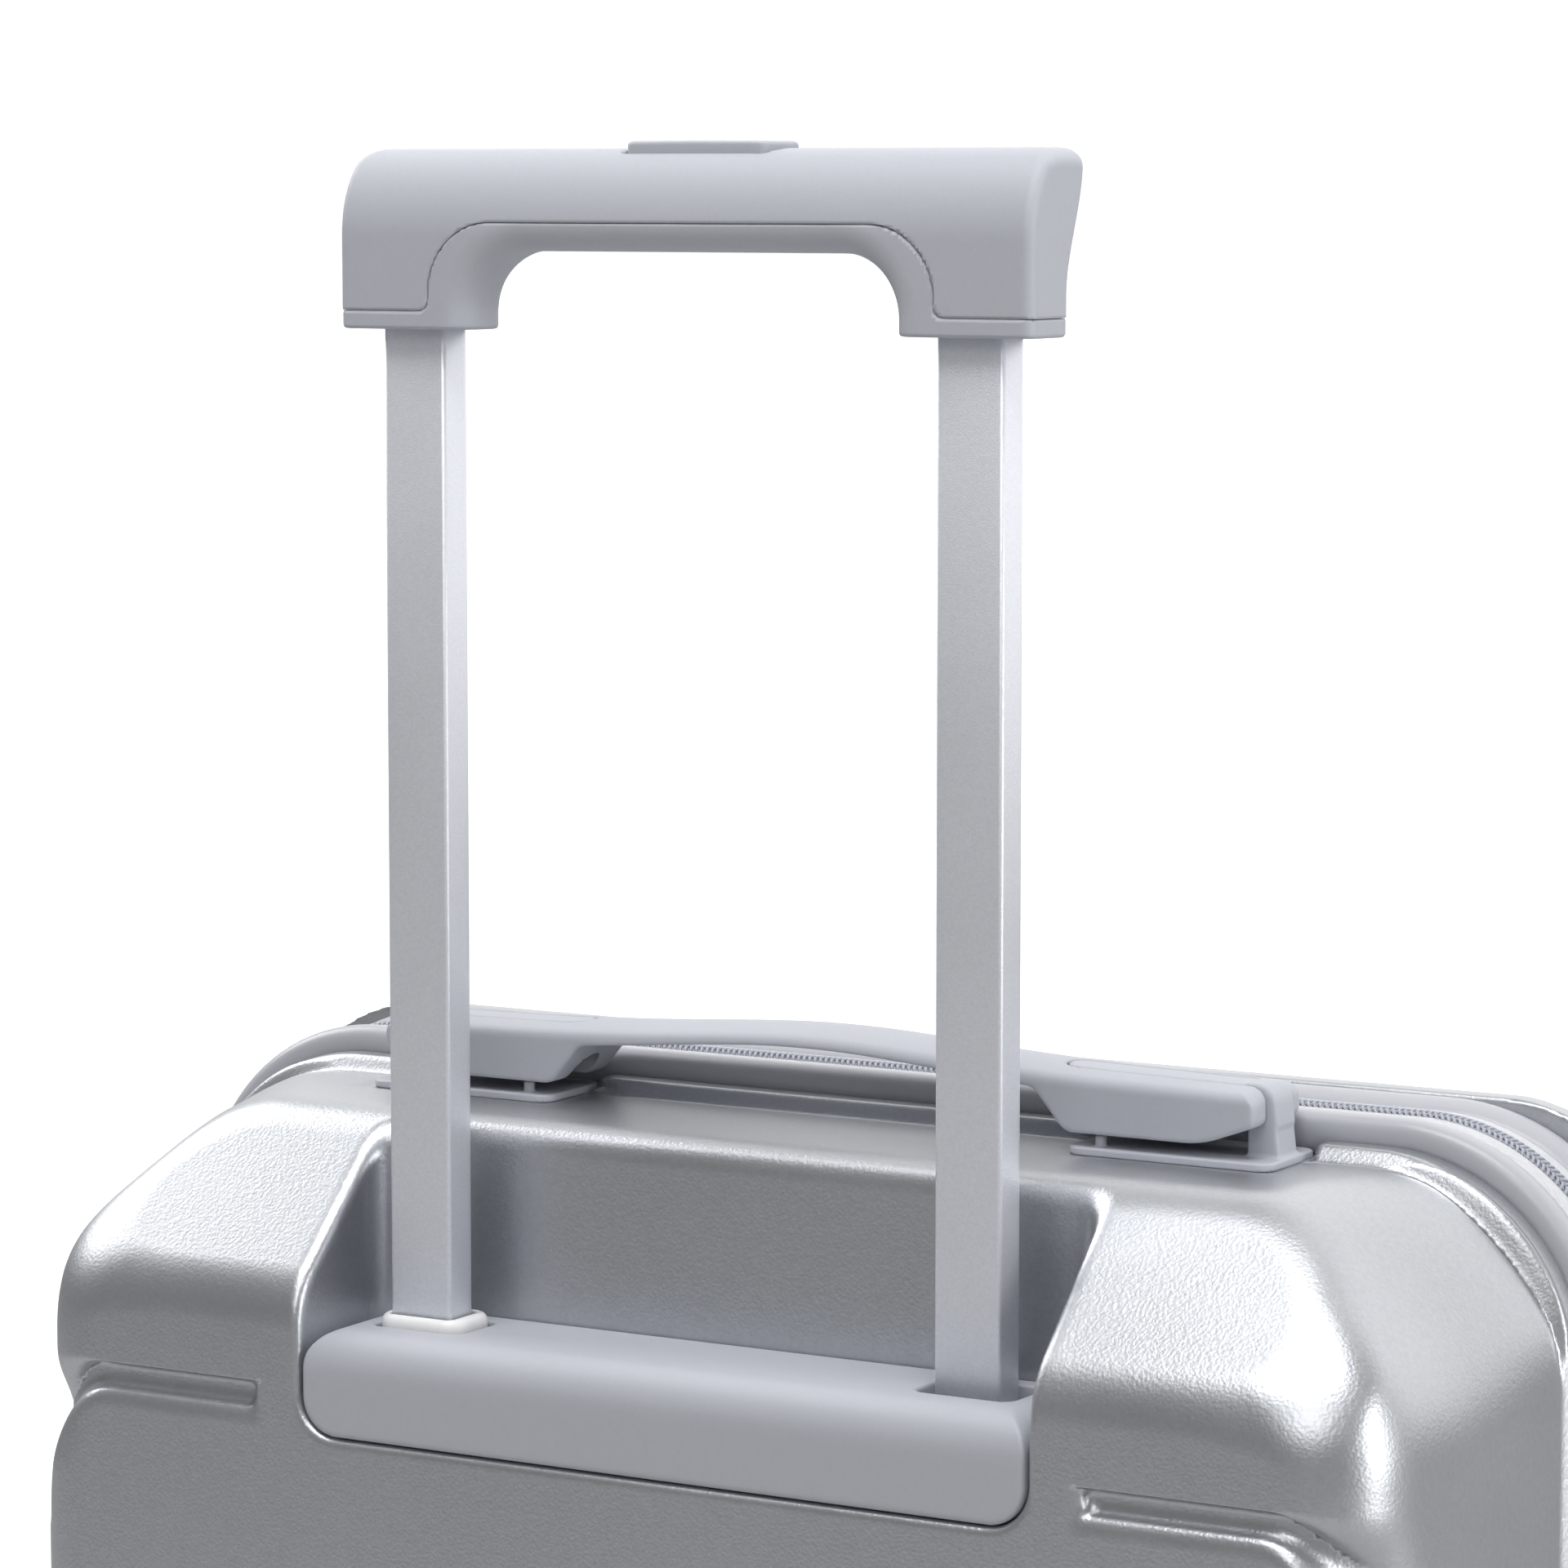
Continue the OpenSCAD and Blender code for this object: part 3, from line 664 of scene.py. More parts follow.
def coil_teeth(name, phase, mat):
    """One slanting loop of the coil at each pitch, laid over the tape's edge."""
    pitch = 1.5
    path = RIM + RIM[:1]
    pts = np.array([p for p, _ in path])
    step = np.linalg.norm(np.diff(pts, axis=0), axis=1)
    run = np.concatenate([[0], np.cumsum(step)])
    count = int(run[-1] / pitch)
    profile = [(-2.75, 1.7, 0.28), (-2.5, 1.05, 0.42), (-1.5, 0.85, 0.47)]
    profile += [(-0.55, 1.0, 0.44), (-0.3, 1.6, 0.3)]
    sides = 5
    verts = []
    faces = []
    for n in range(count):
        s = (n + phase) * run[-1] / count
        i = min(np.searchsorted(run, s, side="right") - 1, len(step) - 1)
        t = (s - run[i]) / step[i]
        p = pts[i] + (pts[i + 1] - pts[i]) * t
        if at_hinge(p):
            continue
        out = path[i][1] * (1 - t) + path[i + 1][1] * t
        out = out / np.linalg.norm(out)
        along = np.array([-out[1], out[0]])
        base = len(verts)
        for y, inset, r in profile:
            for k in range(sides):
                a = 2 * math.pi * k / sides
                sink = inset + 0.35 - 0.8 * r * math.sin(a)
                slant = r * math.cos(a) + 0.5 * (y + 1.5)
                q = p - out * sink + along * slant
                verts.append((q[0], y, q[1]))
        faces += [tuple(base + v for v in f) for f in grid_faces(len(profile), sides, False, True)]
        faces.append(tuple(base + k for k in range(sides))[::-1])
        faces.append(tuple(base + (len(profile) - 1) * sides + k for k in range(sides)))
    return mesh_object(name, verts, faces, mat)


def make_rim():
    for side, body, name in ((1, "case_rear", "rear"), (-1, "case_front", "front")):
        bead = rim_sweep(name + "_bead", bead_section(), BEAD)
        tape = rim_sweep(name + "_tape", tape_section(), TAPE, gap=True)
        teeth = coil_teeth(name + "_coil", 0.25 if side > 0 else 0.75, COIL)
        if side < 0:
            for obj in (bead, tape, teeth):
                for v in obj.data.vertices:
                    v.co.y *= -1
                obj.data.flip_normals()
        put(bead, body, "piping", name + "_piping")
        put(tape, body, "zip_fabric", name + "_zip")
        put(teeth, body, "zip_fabric")
    strip_x = low("hinge_strip", X) + 0.6
    rows, cols = 60, 13
    verts = [
        (
            strip_x + 0.35 * math.sin(c * math.pi / (cols - 1) * 3) * math.sin(r * 0.9),
            -8.4 + 16.4 * c / (cols - 1),
            HINGE_LOW + 0.5 + (HINGE_HIGH - HINGE_LOW - 1) * r / (rows - 1),
        )
        for r in range(rows)
        for c in range(cols)
    ]
    strip = mesh_object("hinge_cloth", verts, grid_faces(rows, cols), TAPE)
    thick = strip.modifiers.new("thick", "SOLIDIFY")
    thick.thickness = 0.9 * MM
    thick.offset = 0
    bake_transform(strip)
    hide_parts("hinge_strip")


# ---- pull handle ----
def grip_form(x, y, z):
    """The whole grip: a section drawn out sideways, round at its top front edge, with an arch below."""
    ax = np.abs(x)
    u = y - GRIP_Y
    w = z - GRIP_LOW
    top = GRIP_HIGH - GRIP_LOW
    face = 15.0 * (np.hypot(np.clip(15.0 - u, 0, None) / 15.0, np.clip(w - 21.0, 0, None) / (top - 21.0)) - 1)
    back = u - 17.4 - 7.4 * ramp(w, 9.0, 38.0)
    section = smax(face, back, 3.0)
    outline = plate(ax, w, 0.0, -40.0, GRIP_X, 40.0 + top, 5.0)
    f = smax(section, outline, 2.8)
    arch = plate(ax, w, 0.0, -40.0, 53.6, 57.6, 14.0)
    f = smax(f, -arch, 7.5)
    return smax(f, -w, 0.9)


def liner_side(x, z):
    """Negative on the liner's side of the parting line."""
    ax = np.abs(x)
    w = z - GRIP_LOW
    band = plate(ax, w, 0.0, -40.0, 64.5, 64.0, 16.0)
    return smin(band, w - 4.2, 3.0)


def cover_form(x, y, z):
    f = smax(grip_form(x, y, z), -liner_side(x, z) + 0.03, 0.3)
    well = np.maximum(button_plan(x, y, 0.35), GRIP_HIGH - 2.5 - z)
    return smax(f, -well, 0.5)


def liner_form(x, y, z):
    return smax(grip_form(x, y, z) + 0.1, liner_side(x, z) + 0.03, 0.3)


def button_plan(x, y, grow):
    """The release button seen from above: wider at the back, and larger by grow all round."""
    v = y - (TUBE_Y + 4.0)
    front = 17.6 + grow
    back = 21 + grow
    deep = 5.2 + grow
    return convex(x, v, [(-front, -deep), (front, -deep), (back, deep), (-back, deep)], 1.6)


def button_form(x, y, z):
    crown = z - (GRIP_HIGH + 0.9) + 0.0004 * x * x
    return smax(smax(button_plan(x, y, 0.0), crown, 1.0), GRIP_HIGH - 4.0 - z, 0.6)


def panel_form(x, y, z):
    """Panel at the foot of the pull handle, with a rolled front edge and two tube holes."""
    ax = np.abs(x)
    section = smax(FACE_Y - y, y - (FACE_Y + POCKET_DEPTH - 0.6), 1.0)
    lid = smax(z - PANEL_HIGH + 0.02 * (y - FACE_Y - 12), FACE_Y - y + 0.05, 11.5)
    middle = (PANEL_LOW + PANEL_HIGH) / 2
    outline = plate(ax, z, 0.0, middle, POCKET_X - 0.8, (PANEL_HIGH - PANEL_LOW) / 2 - 0.3, 9.0)
    f = smax(smax(section, outline, 1.6), lid, 0.5)
    hole = plate(ax, y, TUBE_X, TUBE_Y, 12.0, 9.0, 3.6)
    hole = np.maximum(hole, PANEL_HIGH - 9.0 - z)
    return smax(f, -hole, 1.0)


def tube_outline():
    """Half size 8.2 by 6, crisp along the front edges and round along the back ones."""
    outline = []
    for cx, cy, r, start in ((1, -1, 1.0, -90), (1, 1, 4.5, 0), (-1, 1, 4.5, 90), (-1, -1, 1.0, 180)):
        for i in range(13):
            a = math.radians(start + 90 * i / 12)
            outline.append((cx * (8.2 - r) + r * math.cos(a), cy * (6.0 - r) + r * math.sin(a)))
    return outline


def make_tubes():
    lo, hi = low("inner_tubes", Z), high("inner_tubes", Z)
    outline = tube_outline()
    n = len(outline)
    levels = [(lo, 0.4), (lo + 0.4, 0.0), (hi - 0.4, 0.0), (hi, 0.4)]
    for name, side in (("left", -1), ("right", 1)):
        verts = [
            (side * TUBE_X + u * (1 - inset / 8.2), TUBE_Y + v * (1 - inset / 6.0), z)
            for z, inset in levels
            for u, v in outline
        ]
        faces = grid_faces(len(levels), n, False, True)
        faces.append(tuple(range(n))[::-1])
        faces.append(tuple((len(levels) - 1) * n + i for i in range(n)))
        tube = mesh_object("inner_tube_" + name, verts, faces, ALLOY)
        put(tube, "trolley_inner", "alloy", *(["inner_tubes"] if side < 0 else []))


def collar(name, side, z0):
    """Soft-edged ring round a tube, with the tube's own opening."""
    def form(x, y, z):
        ring = plate(x, y, side * TUBE_X, TUBE_Y, 11.3, 8.5, 5.0)
        hole = plate(x, y, side * TUBE_X, TUBE_Y, 8.6, 6.4, 1.8)
        f = smax(ring, slab(z, z0 - 3.5, z0 + 2.3), 2.4)
        return smax(f, -hole, 0.6)

    xs = lines([(side * TUBE_X - 15, side * TUBE_X + 15, 0.55)])
    ys = lines([(TUBE_Y - 11, TUBE_Y + 11, 0.55)])
    return solid(name, form, xs, ys, lines([(z0 - 4, z0 + 5, 0.5)]), WHITE)


def make_pull_handle():
    make_tubes()
    xs = lines(mirrored([(0, 40, 3), (40, 70, 0.9), (70, 90, 0.9)]))
    ys = lines([(GRIP_Y - 1, GRIP_Y + 27, 0.8)])
    zs = lines([(GRIP_LOW - 1, GRIP_LOW + 30, 0.8), (GRIP_LOW + 30, GRIP_HIGH + 1, 0.8)])
    for node, form in (("grip_cover", cover_form), ("grip_liner", liner_form)):
        half = solid(node + "_moulding", form, xs, ys, zs, PLASTIC)
        put(half, "trolley_inner", "grey_plastic", node)
    button = solid(
        "button_moulding",
        button_form,
        lines([(-22.5, 22.5, 0.6)]),
        lines([(TUBE_Y - 3, TUBE_Y + 11, 0.5)]),
        lines([(GRIP_HIGH - 5, GRIP_HIGH + 2, 0.45)]),
        PLASTIC,
    )
    put(button, "release", "grey_plastic", "release_button")
    panel = solid(
        "panel_moulding",
        panel_form,
        lines(mirrored([(0, 54, 4), (54, 88, 1.2), (88, 95, 0.7)])),
        lines([(FACE_Y - 1, FACE_Y + 38, 0.9)]),
        lines([(PANEL_LOW - 1, PANEL_LOW + 10, 0.8), (PANEL_LOW + 10, PANEL_HIGH + 1, 0.9)]),
        PLASTIC,
    )
    put(panel, "case_rear", "grey_plastic", "base_panel")
    left = collar("collar_left", -1, PANEL_HIGH)
    right = collar("collar_right", 1, PANEL_HIGH - 7.5)
    put(left, "trolley_mid", "white_plastic", "collars")
    put(right, "trolley_mid", "white_plastic")


# ---- carry handle ----
MOUNT_Y = (low("handle_mount_right", Y), high("handle_mount_right", Y))
MOUNT_MID = (MOUNT_Y[0] + MOUNT_Y[1]) / 2
STRAP_TOP = high("carry_handle", Z)
PIN_X = high("handle_pins", X) - 1.5
PIN_LOW = low("handle_pins", Z)


def handle_top(ax, y):
    """Height of the handle's crowned top: an arch between the arms, almost level along them."""
    across = (y - MOUNT_MID) / 12.4
    return STRAP_TOP - 3.5 * (1 - np.exp(-((ax / 45.0) ** 2))) - 0.8 * (ax / 115.0) ** 2 - 1.5 * across**2


def handle_form(x, y, z):
    """Thin strap that ends in two thick arms, each slotted for its tongue."""
    ax = np.abs(x)
    top = handle_top(ax, y)
    strap = smax(top - 2.6 - 1.0 * (ax / 60.0) ** 2 - z, ax - 75.0, 1.0)
    side = [(68.2, TOP_Z + 4.4), (102, TOP_Z + 4.4), (115, TOP_Z + 9.2), (115, TOP_Z + 40), (38, TOP_Z + 40)]
    arm = convex(ax, z, side, 1.6)
    f = smin(strap, arm, 1.2)
    f = smax(f, np.abs(y - MOUNT_MID) - 12.4, 1.2)
    f = smax(f, z - top, 2.4)
    f = smax(f, smax(ax - 115.0, z - top, 4.5), 0.1)
    slot = plate(ax, y, 63.4 + 60.0, MOUNT_MID, 60.0, 5.15, 4.9)
    return smax(f, -slot, 0.6)


def mount_form(x, y, z):
    """Flat foot with a post, and the tongue that the handle's arm straddles."""
    foot = plate(x, y, 94.0, MOUNT_MID, 25.4, 12.9, 4.0)
    foot = smax(foot, slab(z, TOP_Z - 0.4, TOP_Z + 1.5), 0.6)
    outer = (x - 118.2 + 0.12 * (z - TOP_Z)) * 0.993
    shape = smax(outer, z - handle_top(x, y) + 0.15, 5.0)
    bar = smax(shape, TOP_Z + 13.6 - 0.09 * (x - 64) - z, 0.8)
    leg = smax(shape, 110.0 - x, 0.8)
    tongue = smin(bar, leg, 1.6)
    tongue = smax(tongue, np.abs(y - MOUNT_MID) - 4.75, 0.9)
    nose = np.where(x < 68.3, disc(x, y, 68.3, MOUNT_MID, 4.5), -5.0)
    tongue = smax(tongue, nose, 0.5)
    tongue = smax(tongue, TOP_Z - 0.3 - z, 0.2)
    slot = plate(x, z, PIN_X, PIN_LOW + 3.6, 1.9, 3.6, 1.2)
    tongue = smax(tongue, -slot, 0.3)
    post = smax(disc(x, y, 76.0, MOUNT_MID - 9.0, 1.3), slab(z, TOP_Z, TOP_Z + 4.0), 0.3)
    return smin(smin(foot, tongue, 1.2), post, 0.5)


def make_carry_handle():
    xs = lines(mirrored([(0, 44, 3), (44, 72, 0.8), (72, 100, 1.6), (100, 116.5, 0.7)]))
    ys = lines([(MOUNT_MID - 13.5, MOUNT_MID + 13.5, 0.65)])
    zs = lines([(TOP_Z + 2, STRAP_TOP + 1.5, 0.65)])
    strap = solid("carry_handle_moulding", handle_form, xs, ys, zs, PLASTIC)
    put(strap, "carry_handle", "grey_plastic", "carry_handle")
    xs = lines([(62, 80, 0.7), (80, 93, 1.4), (93, 121, 0.7)])
    zs = lines([(TOP_Z - 1.5, TOP_Z + 4, 0.55), (TOP_Z + 4, TOP_Z + 20, 0.7)])
    right = solid("mount_right_moulding", mount_form, xs, ys, zs, PLASTIC)
    left = reflected(right, "mount_left_moulding", [X])
    put(right, "case_rear", "grey_plastic", "handle_mount_right")
    put(left, "case_rear", "grey_plastic", "handle_mount_left")


# ---- lock ----
DIAL = [(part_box(f"lock_dial_{i}")[0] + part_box(f"lock_dial_{i}")[1]) / 2 / MM for i in (1, 2, 3)]


def lock_form(x, y, z):
    """Plate let into the side wall, with windows for the dials, a latch track and a dished face."""
    f = plate(y, z, LOCK_Y, LOCK_Z, 15.2, 33.8, 6.0)
    f = smax(f, slab(x, LOCK_X - 16.0, LOCK_X), 2.2)
    dish = smax(plate(y, z, DIAL[0].y, LOCK_Z, 8.6, 30.5, 4.0), LOCK_X - 1.1 - x, 0.8)
    f = smax(f, -dish, 0.8)
    for dial in DIAL:
        window = smax(plate(y, z, dial.y, dial.z, 6.6, 3.1, 1.2), LOCK_X - 12.0 - x, 0.5)
        f = smax(f, -window, 0.5)
    track = smax(plate(y, z, DIAL[0].y, LOCK_Z - 25.0, 5.6, 6.2, 1.4), LOCK_X - 3.2 - x, 0.5)
    return smax(f, -track, 0.5)


def dial_ring(i, centre):
    """Knurled number wheel."""
    verts = []
    profile = [(-2.6, 5.3), (-2.0, 5.9), (2.0, 5.9), (2.6, 5.3), (2.6, 1.3), (-2.6, 1.3)]
    segments = 80
    for n in range(segments):
        a = 2 * math.pi * n / segments
        dip = 0.45 if n % 8 in (0, 1) else 0.0
        for along, r in profile:
            q = r - dip if r > 2 else r
            verts.append((centre.x + q * math.cos(a), centre.y + q * math.sin(a), centre.z + along))
    faces = grid_faces(segments, len(profile), True, True)
    obj = mesh_object(f"dial_wheel_{i}", verts, faces, STEEL, smooth=False)
    return put(obj, f"dial_{i}", "steel", f"lock_dial_{i}")


def dial_numbers(i, centre):
    """Ten raised digits round a number wheel."""
    for n in range(10):
        curve = bpy.data.curves.new(f"digit_{i}_{n}", "FONT")
        curve.body = str(n)
        curve.size = 3.0 * MM
        curve.extrude = 0.06 * MM
        curve.align_x = "CENTER"
        curve.align_y = "CENTER"
        curve.resolution_u = 3
        curve.materials.append(DARK)
        obj = bpy.data.objects.new(curve.name, curve)
        bpy.context.scene.collection.objects.link(obj)
        a = 2 * math.pi * n / 10 + math.pi / 8
        obj.rotation_euler = (math.pi / 2, 0, a + math.pi / 2)
        out = 5.95 * MM
        obj.location = (centre.x * MM + out * math.cos(a), centre.y * MM + out * math.sin(a), centre.z * MM)
        put(obj, f"dial_{i}", "dark_plastic")


def make_lock():
    body = solid(
        "lock_housing",
        lock_form,
        lines([(LOCK_X - 17, LOCK_X - 4, 1.2), (LOCK_X - 4, LOCK_X + 1, 0.5)]),
        lines([(LOCK_Y - 16.5, LOCK_Y + 16.5, 0.7)]),
        lines([(LOCK_Z - 35, LOCK_Z + 35, 0.7)]),
        DARK,
    )
    put(body, "case_rear", "dark_plastic", "lock_body")
    for i, centre in enumerate(DIAL, 1):
        dial_ring(i, centre)
        dial_numbers(i, centre)
    for name in ("upper", "lower"):
        lo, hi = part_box("pull_" + name)
        mid = (lo + hi) / 2 / MM
        bar_y = hi.y / MM - 1.15

        def tab(x, y, z, mid=mid, bar_y=bar_y, end=lo.y / MM):
            leaf = plate(y, z, (end + bar_y) / 2, mid.z, (bar_y - end) / 2, 3.3, 2.4)
            flat = smax(leaf, np.abs(x - mid.x) - 0.75, 0.7)
            eye = smax(disc(x, y, mid.x, bar_y, 1.15), np.abs(z - mid.z) - 3.2, 0.3)
            slot = smax(plate(y, z, end + 6.0, mid.z, 3.2, 1.2, 1.1), np.abs(x - mid.x) - 3.0, 0.1)
            bore = disc(x, y, mid.x, bar_y, 0.66)
            return smax(smax(smin(flat, eye, 0.6), -slot, 0.3), -bore, 0.15)

        pull = solid(
            f"pull_tab_{name}",
            tab,
            lines([(mid.x - 1.7, mid.x + 1.7, 0.28)]),
            lines([(lo.y / MM - 0.6, hi.y / MM - 3, 0.5), (hi.y / MM - 3, hi.y / MM + 0.6, 0.28)]),
            lines([(mid.z - 4, mid.z + 4, 0.4)]),
            STEEL,
        )
        put(pull, "pull_" + name, "steel", "pull_" + name)


# ---- wheels ----
CASTER = (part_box("fork_rr")[0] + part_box("fork_rr")[1]) / 2 / MM
SWIVEL_X = CASTER.x
WHEEL = (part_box("tyre_rr")[0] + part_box("tyre_rr")[1]) / 2 / MM
WHEEL_R = WHEEL.z
WHEEL_HALF = 8.5
SWIVEL_Y = WHEEL.y - 10.0
HOUSING_TOP = high("housing_rr", Z)
WELL_TOP = 60.0


def housing_form(x, y, z):
    """Corner block that carries on the shell's form, with a dished well for the fork."""
    f = shell_body(x, y - FACE_Y, z) + 0.25
    block = smax(smax(106.3 - x, y + 40.3, 1.5), z - HOUSING_TOP, 1.5)
    f = smax(f, block, 1.4)
    well = smax(disc(x, y, SWIVEL_X, SWIVEL_Y, 20.0), z - WELL_TOP, 3.0)
    f = smax(f, -well, 2.0)
    return smax(f, -disc(x, y, SWIVEL_X, SWIVEL_Y, 4.1), 0.4)


def fork_form(x, y, z):
    """Round cap with two legs that reach back to the axle."""
    u = np.abs(x - SWIVEL_X)
    v = y - SWIVEL_Y
    cap = smax(disc(x, y, SWIVEL_X, SWIVEL_Y, 17.0), slab(z, 2 * WHEEL_R + 2.0, WELL_TOP - 1.5), 3.5)
    stem = smax(disc(x, y, SWIVEL_X, SWIVEL_Y, 4.0), slab(z, WELL_TOP - 4.0, WELL_TOP + 10.0), 0.6)
    top = 2 * WHEEL_R + 5.0
    side = [(4.0, WHEEL_R - 6.0), (16.0, WHEEL_R - 6.0), (18.0, WHEEL_R + 4.0)]
    side += [(14.5, top), (-11.5, top), (3.0, WHEEL_R + 3.0)]
    leg = smax(convex(v, z, side, 3.5), slab(u, 9.3, 11.9), 1.3)
    boss = smax(disc(v, z, 10.0, WHEEL_R, 5.0), slab(u, 9.3, 12.1), 0.8)
    f = smin(smin(cap, leg, 2.5), smin(stem, boss, 0.5), 1.0)
    return smax(f, -disc(v, z, 10.0, WHEEL_R, 2.5), 0.3)


def hub_form(x, y, z):
    """Moulded hub with five spokes on each side of its web."""
    u = np.abs(x - SWIVEL_X)
    v = y - WHEEL.y
    w = z - WHEEL_R
    r = np.hypot(v, w)
    rim = smax(r - 18.0, u - WHEEL_HALF + 0.4, 1.0)
    fold = np.abs((np.arctan2(w, v) / (2 * np.pi / 5) + 20.5) % 1.0 - 0.5) * (2 * np.pi / 5)
    spoke = r * np.sin(fold) - 2.0
    dish = smax(smax(r - 15.2, 5.6 - r, 1.2), 1.8 - u, 1.0)
    dish = smax(dish, -spoke, 1.4)
    return smax(smax(rim, -dish, 0.9), 2.55 - r, 0.3)


def tyre_profile():
    """Soft tread with two shallow grooves; (along the axle, radius)."""
    points = []
    for i in range(33):
        a = math.pi * i / 32
        along = -WHEEL_HALF * math.copysign(abs(math.cos(a)) ** 0.45, math.cos(a))
        r = WHEEL_R - 2.6 + 2.6 * math.sin(a) ** 0.55
        groove = 0.7 * (math.exp(-(((along - 2.9) / 0.5) ** 2)) + math.exp(-(((along + 2.9) / 0.5) ** 2)))
        points.append((along, r - groove))
    return points + [(WHEEL_HALF, 18.05), (-WHEEL_HALF, 18.05)]


def make_wheels():
    housing = solid(
        "wheel_housing_rr",
        housing_form,
        lines([(105, 186, 1.3)]),
        lines([(FACE_Y - 1, -39.5, 1.3)]),
        lines([(43, HOUSING_TOP + 1, 1.3)]),
        PLASTIC,
    )
    fork = solid(
        "wheel_fork_rr",
        fork_form,
        lines([(SWIVEL_X - 18.5, SWIVEL_X + 18.5, 0.95)]),
        lines([(SWIVEL_Y - 18.5, SWIVEL_Y + 20, 1.0)]),
        lines([(WHEEL_R - 8, WELL_TOP + 11.5, 1.0)]),
        PLASTIC,
    )
    hub = solid(
        "wheel_hub_rr",
        hub_form,
        lines([(SWIVEL_X - 9.5, SWIVEL_X + 9.5, 0.8)]),
        lines([(WHEEL.y - 19, WHEEL.y + 19, 0.8)]),
        lines([(WHEEL_R - 19, WHEEL_R + 19, 0.8)]),
        PLASTIC,
    )
    verts, faces = lathe(tyre_profile(), (SWIVEL_X, WHEEL.y, WHEEL_R), X, 72)
    tyre = mesh_object("wheel_tyre_rr", verts, faces, TYRE)
    # each wheel trails towards +Y, so only the housings are mirrored front to back
    for corner, axes in (("rr", []), ("rl", [X]), ("fr", [Y]), ("fl", [X, Y])):
        shift = -2 * SWIVEL_Y if Y in axes else 0.0
        parts = [housing, fork, hub, tyre]
        if axes:
            parts = [reflected(housing, "wheel_housing_" + corner, axes)]
            for source, kind in ((fork, "fork"), (hub, "hub"), (tyre, "tyre")):
                piece = reflected(source, f"wheel_{kind}_{corner}", [X] if X in axes else [])
                for v in piece.data.vertices:
                    v.co.y += shift * MM
                parts.append(piece)
        half = "case_rear" if Y not in axes else "case_front"
        put(parts[0], half, "grey_plastic", "housing_" + corner)
        put(parts[1], "caster_" + corner, "grey_plastic", "fork_" + corner)
        put(parts[2], "wheel_" + corner, "grey_plastic", "hub_" + corner)
        put(parts[3], "wheel_" + corner, "tyre_rubber", "tyre_" + corner)


# ---- inside ----
def lining_form(depth_of, back):
    """Cloth tray inside a shell, with soft hollows where it isn't stuck down."""
    def form(x, y, z):
        depth = depth_of(y)
        f = shell_body(x, depth, z) + 8.7
        f = smax(f, back - depth, 13.0)
        f = smax(f, 87.0 - z, 10.0)
        folds = np.sin(x * 0.045 + 1.3 * np.sin(z * 0.021)) * np.sin(z * 0.037 + 0.9 * np.sin(x * 0.03))
        creases = np.abs(np.sin(x * 0.11 + z * 0.05 + 1.2 * np.sin(z * 0.04 + depth * 0.1)))
        return f + 1.1 * folds + 0.8 * creases**6

    return form


def make_linings():
    spans = lines(mirrored([(0, 130, 5), (130, 177, 3)]))
    heights = lines([(84, 110, 3), (110, 450, 5.5), (450, 528, 3)])
    rear = solid(
        "rear_lining_cloth",
        lining_form(lambda y: y - FACE_Y, 42.4),
        spans,
        lines([(FACE_Y + 40, FACE_Y + 60, 2.2), (FACE_Y + 60, -11.5, 3.5)]),
        heights,
        LINING,
    )
    front = solid(
        "front_lining_cloth",
        lining_form(lambda y: -y - FACE_Y, 8.6),
        spans,
        lines([(11.5, -FACE_Y - 26, 4), (-FACE_Y - 26, -FACE_Y - 7, 2.2)]),
        heights,
        LINING,
    )
    for cloth, body, node in ((rear, "case_rear", "rear_lining"), (front, "case_front", "front_lining")):
        put(cloth, body, "lining_fabric", node)


STRAP_Y = -15.0
STRAP_Z = 300.0


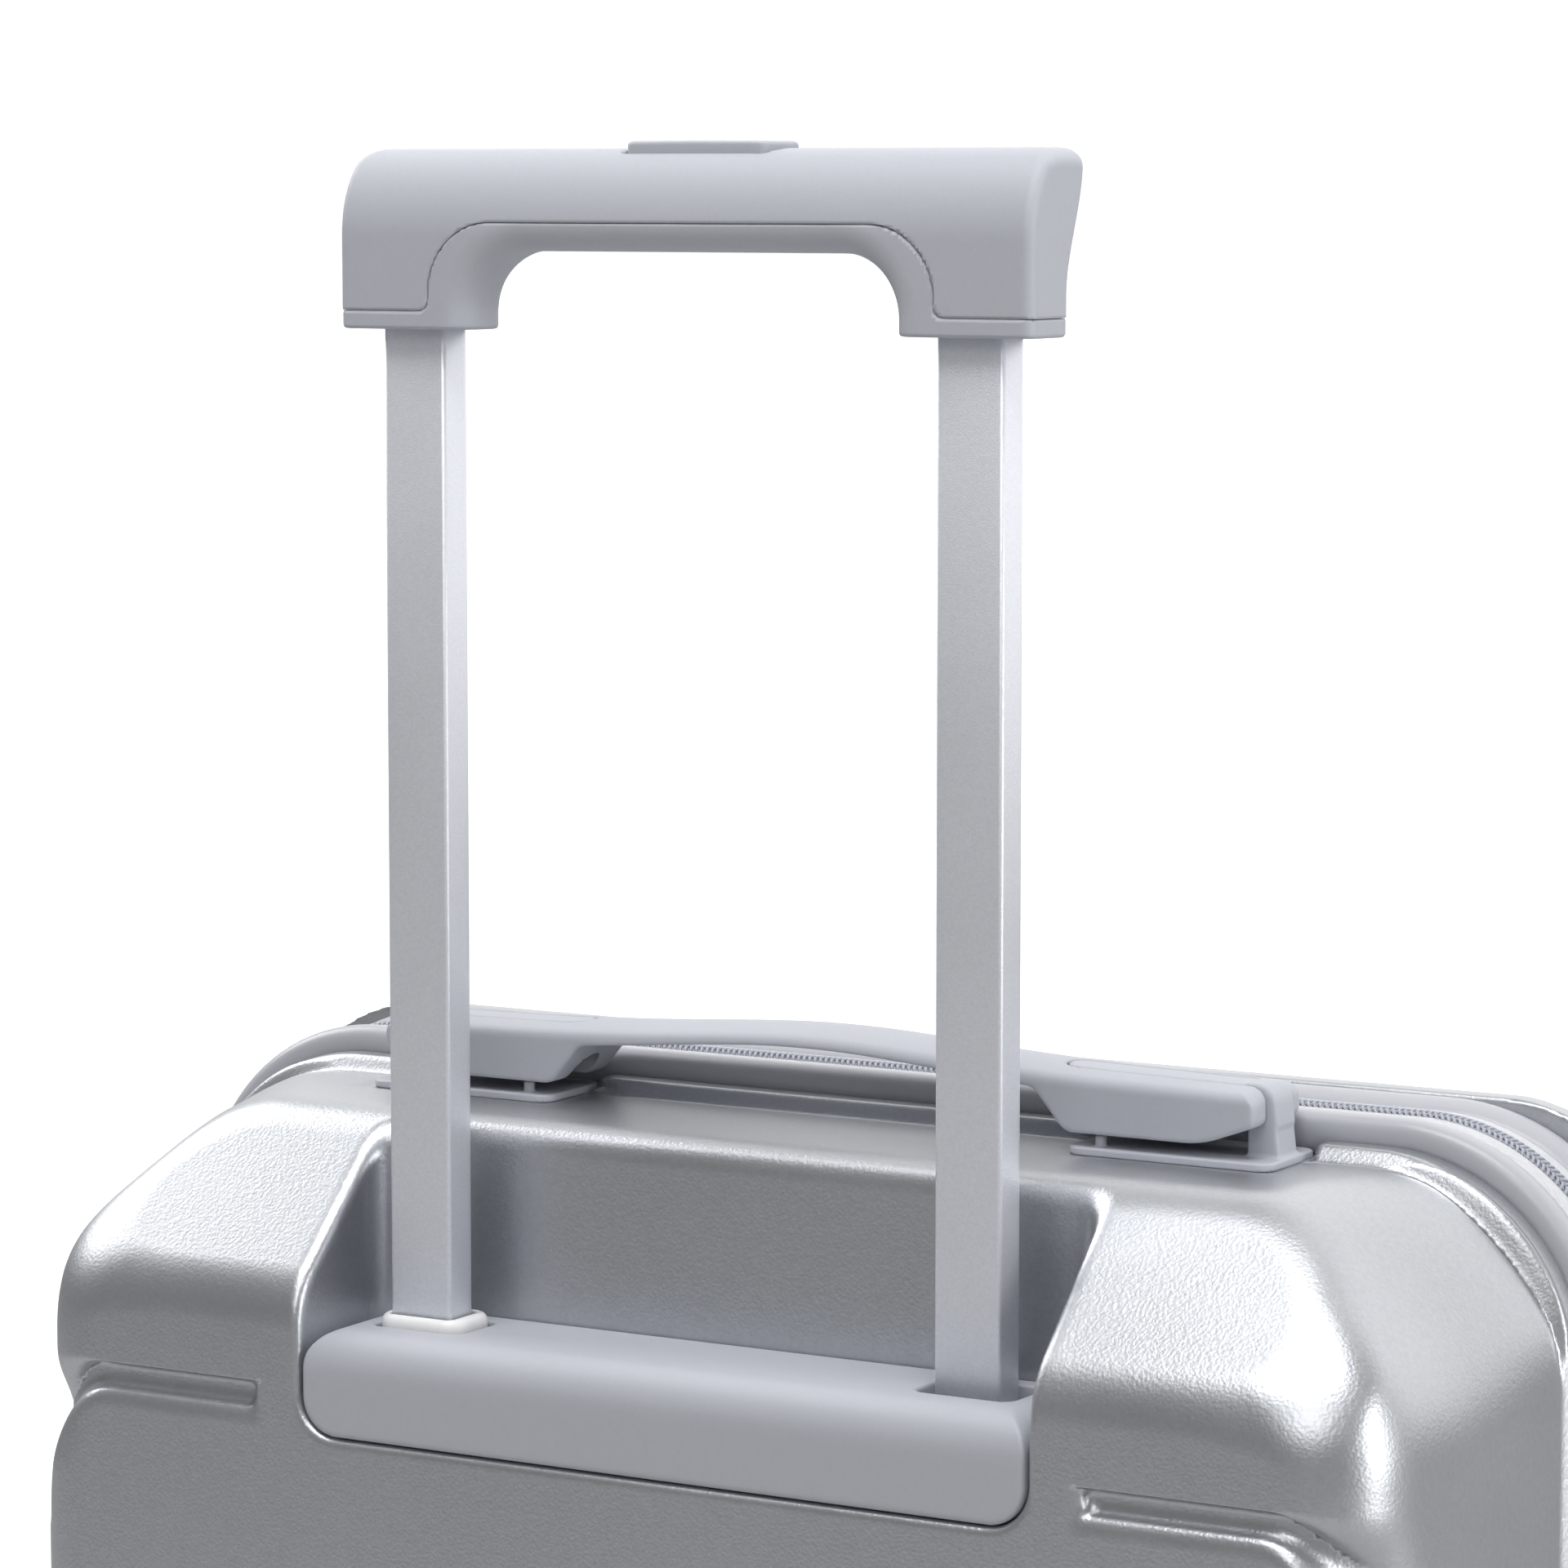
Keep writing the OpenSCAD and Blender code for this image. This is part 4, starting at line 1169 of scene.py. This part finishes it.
def webbing(name, angle):
    """Flat woven strap through the buckle, sagging gently along its length."""
    reach = 250.0
    rows, cols = 90, 9
    a = math.radians(angle)
    verts = []
    for r in range(rows):
        t = -reach + 2 * reach * r / (rows - 1)
        dip = 1.2 * math.sin(math.pi * min(1, abs(t) / reach)) + 0.25 * math.sin(t * 0.07)
        for c in range(cols):
            v = -12.5 + 25.0 * c / (cols - 1)
            x = t * math.cos(a) + v * math.sin(a)
            z = STRAP_Z - t * math.sin(a) + v * math.cos(a)
            verts.append((x, STRAP_Y + 0.6 + dip, z))
    strap = mesh_object(name, verts, grid_faces(rows, cols), STRAP)
    thick = strap.modifiers.new("thick", "SOLIDIFY")
    thick.thickness = 1.1 * MM
    thick.offset = 0
    return strap


def buckle_form(x, y, z):
    f = smax(plate(x, z, 0.0, STRAP_Z, 26.0, 20.0, 6.0), slab(y, STRAP_Y - 2.5, STRAP_Y + 3.5), 2.0)
    side = smin(disc(x, z, 0.0, STRAP_Z + 25.0, 11.0), disc(x, z, 0.0, STRAP_Z - 25.0, 11.0), 1.0)
    f = smax(f, -side, 2.0)
    groove = smax(np.abs(np.abs(x) - 9.0) - 0.5, STRAP_Y + 2.7 - y, 0.4)
    return smax(f, -groove, 0.5)


def make_straps():
    for name, angle in (("strap_rising", -50.0), ("strap_falling", 50.0)):
        strap = webbing(name, angle)
        put(strap, "case_rear", "strap_fabric", "cross_straps")
    buckle = solid(
        "strap_buckle",
        buckle_form,
        lines([(-27, 27, 0.9)]),
        lines([(STRAP_Y - 3.3, STRAP_Y + 4.3, 0.7)]),
        lines([(STRAP_Z - 21, STRAP_Z + 21, 0.9)]),
        DARK,
    )
    put(buckle, "case_rear", "dark_plastic", "cross_straps")


make_shells()
make_rim()
make_pull_handle()
make_carry_handle()
make_lock()
make_wheels()
make_linings()
make_straps()

for node, mat in (
    ("outer_tubes", ALLOY), ("mid_tubes", ALLOY), ("bottom_bracket", DARK),
    ("mid_bushes", DARK), ("latch_blocks", DARK), ("grip_screws", STEEL), ("release_bar", DARK),
    ("push_rods", STEEL), ("release_springs", STEEL), ("handle_pins", STEEL), ("handle_screws", STEEL),
    ("lock_latch", STEEL), ("slider_upper", STEEL), ("slider_lower", STEEL), ("axle_rl", STEEL),
    ("axle_rr", STEEL), ("axle_fl", STEEL), ("axle_fr", STEEL),
):
    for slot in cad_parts[node].material_slots:
        slot.material = mat
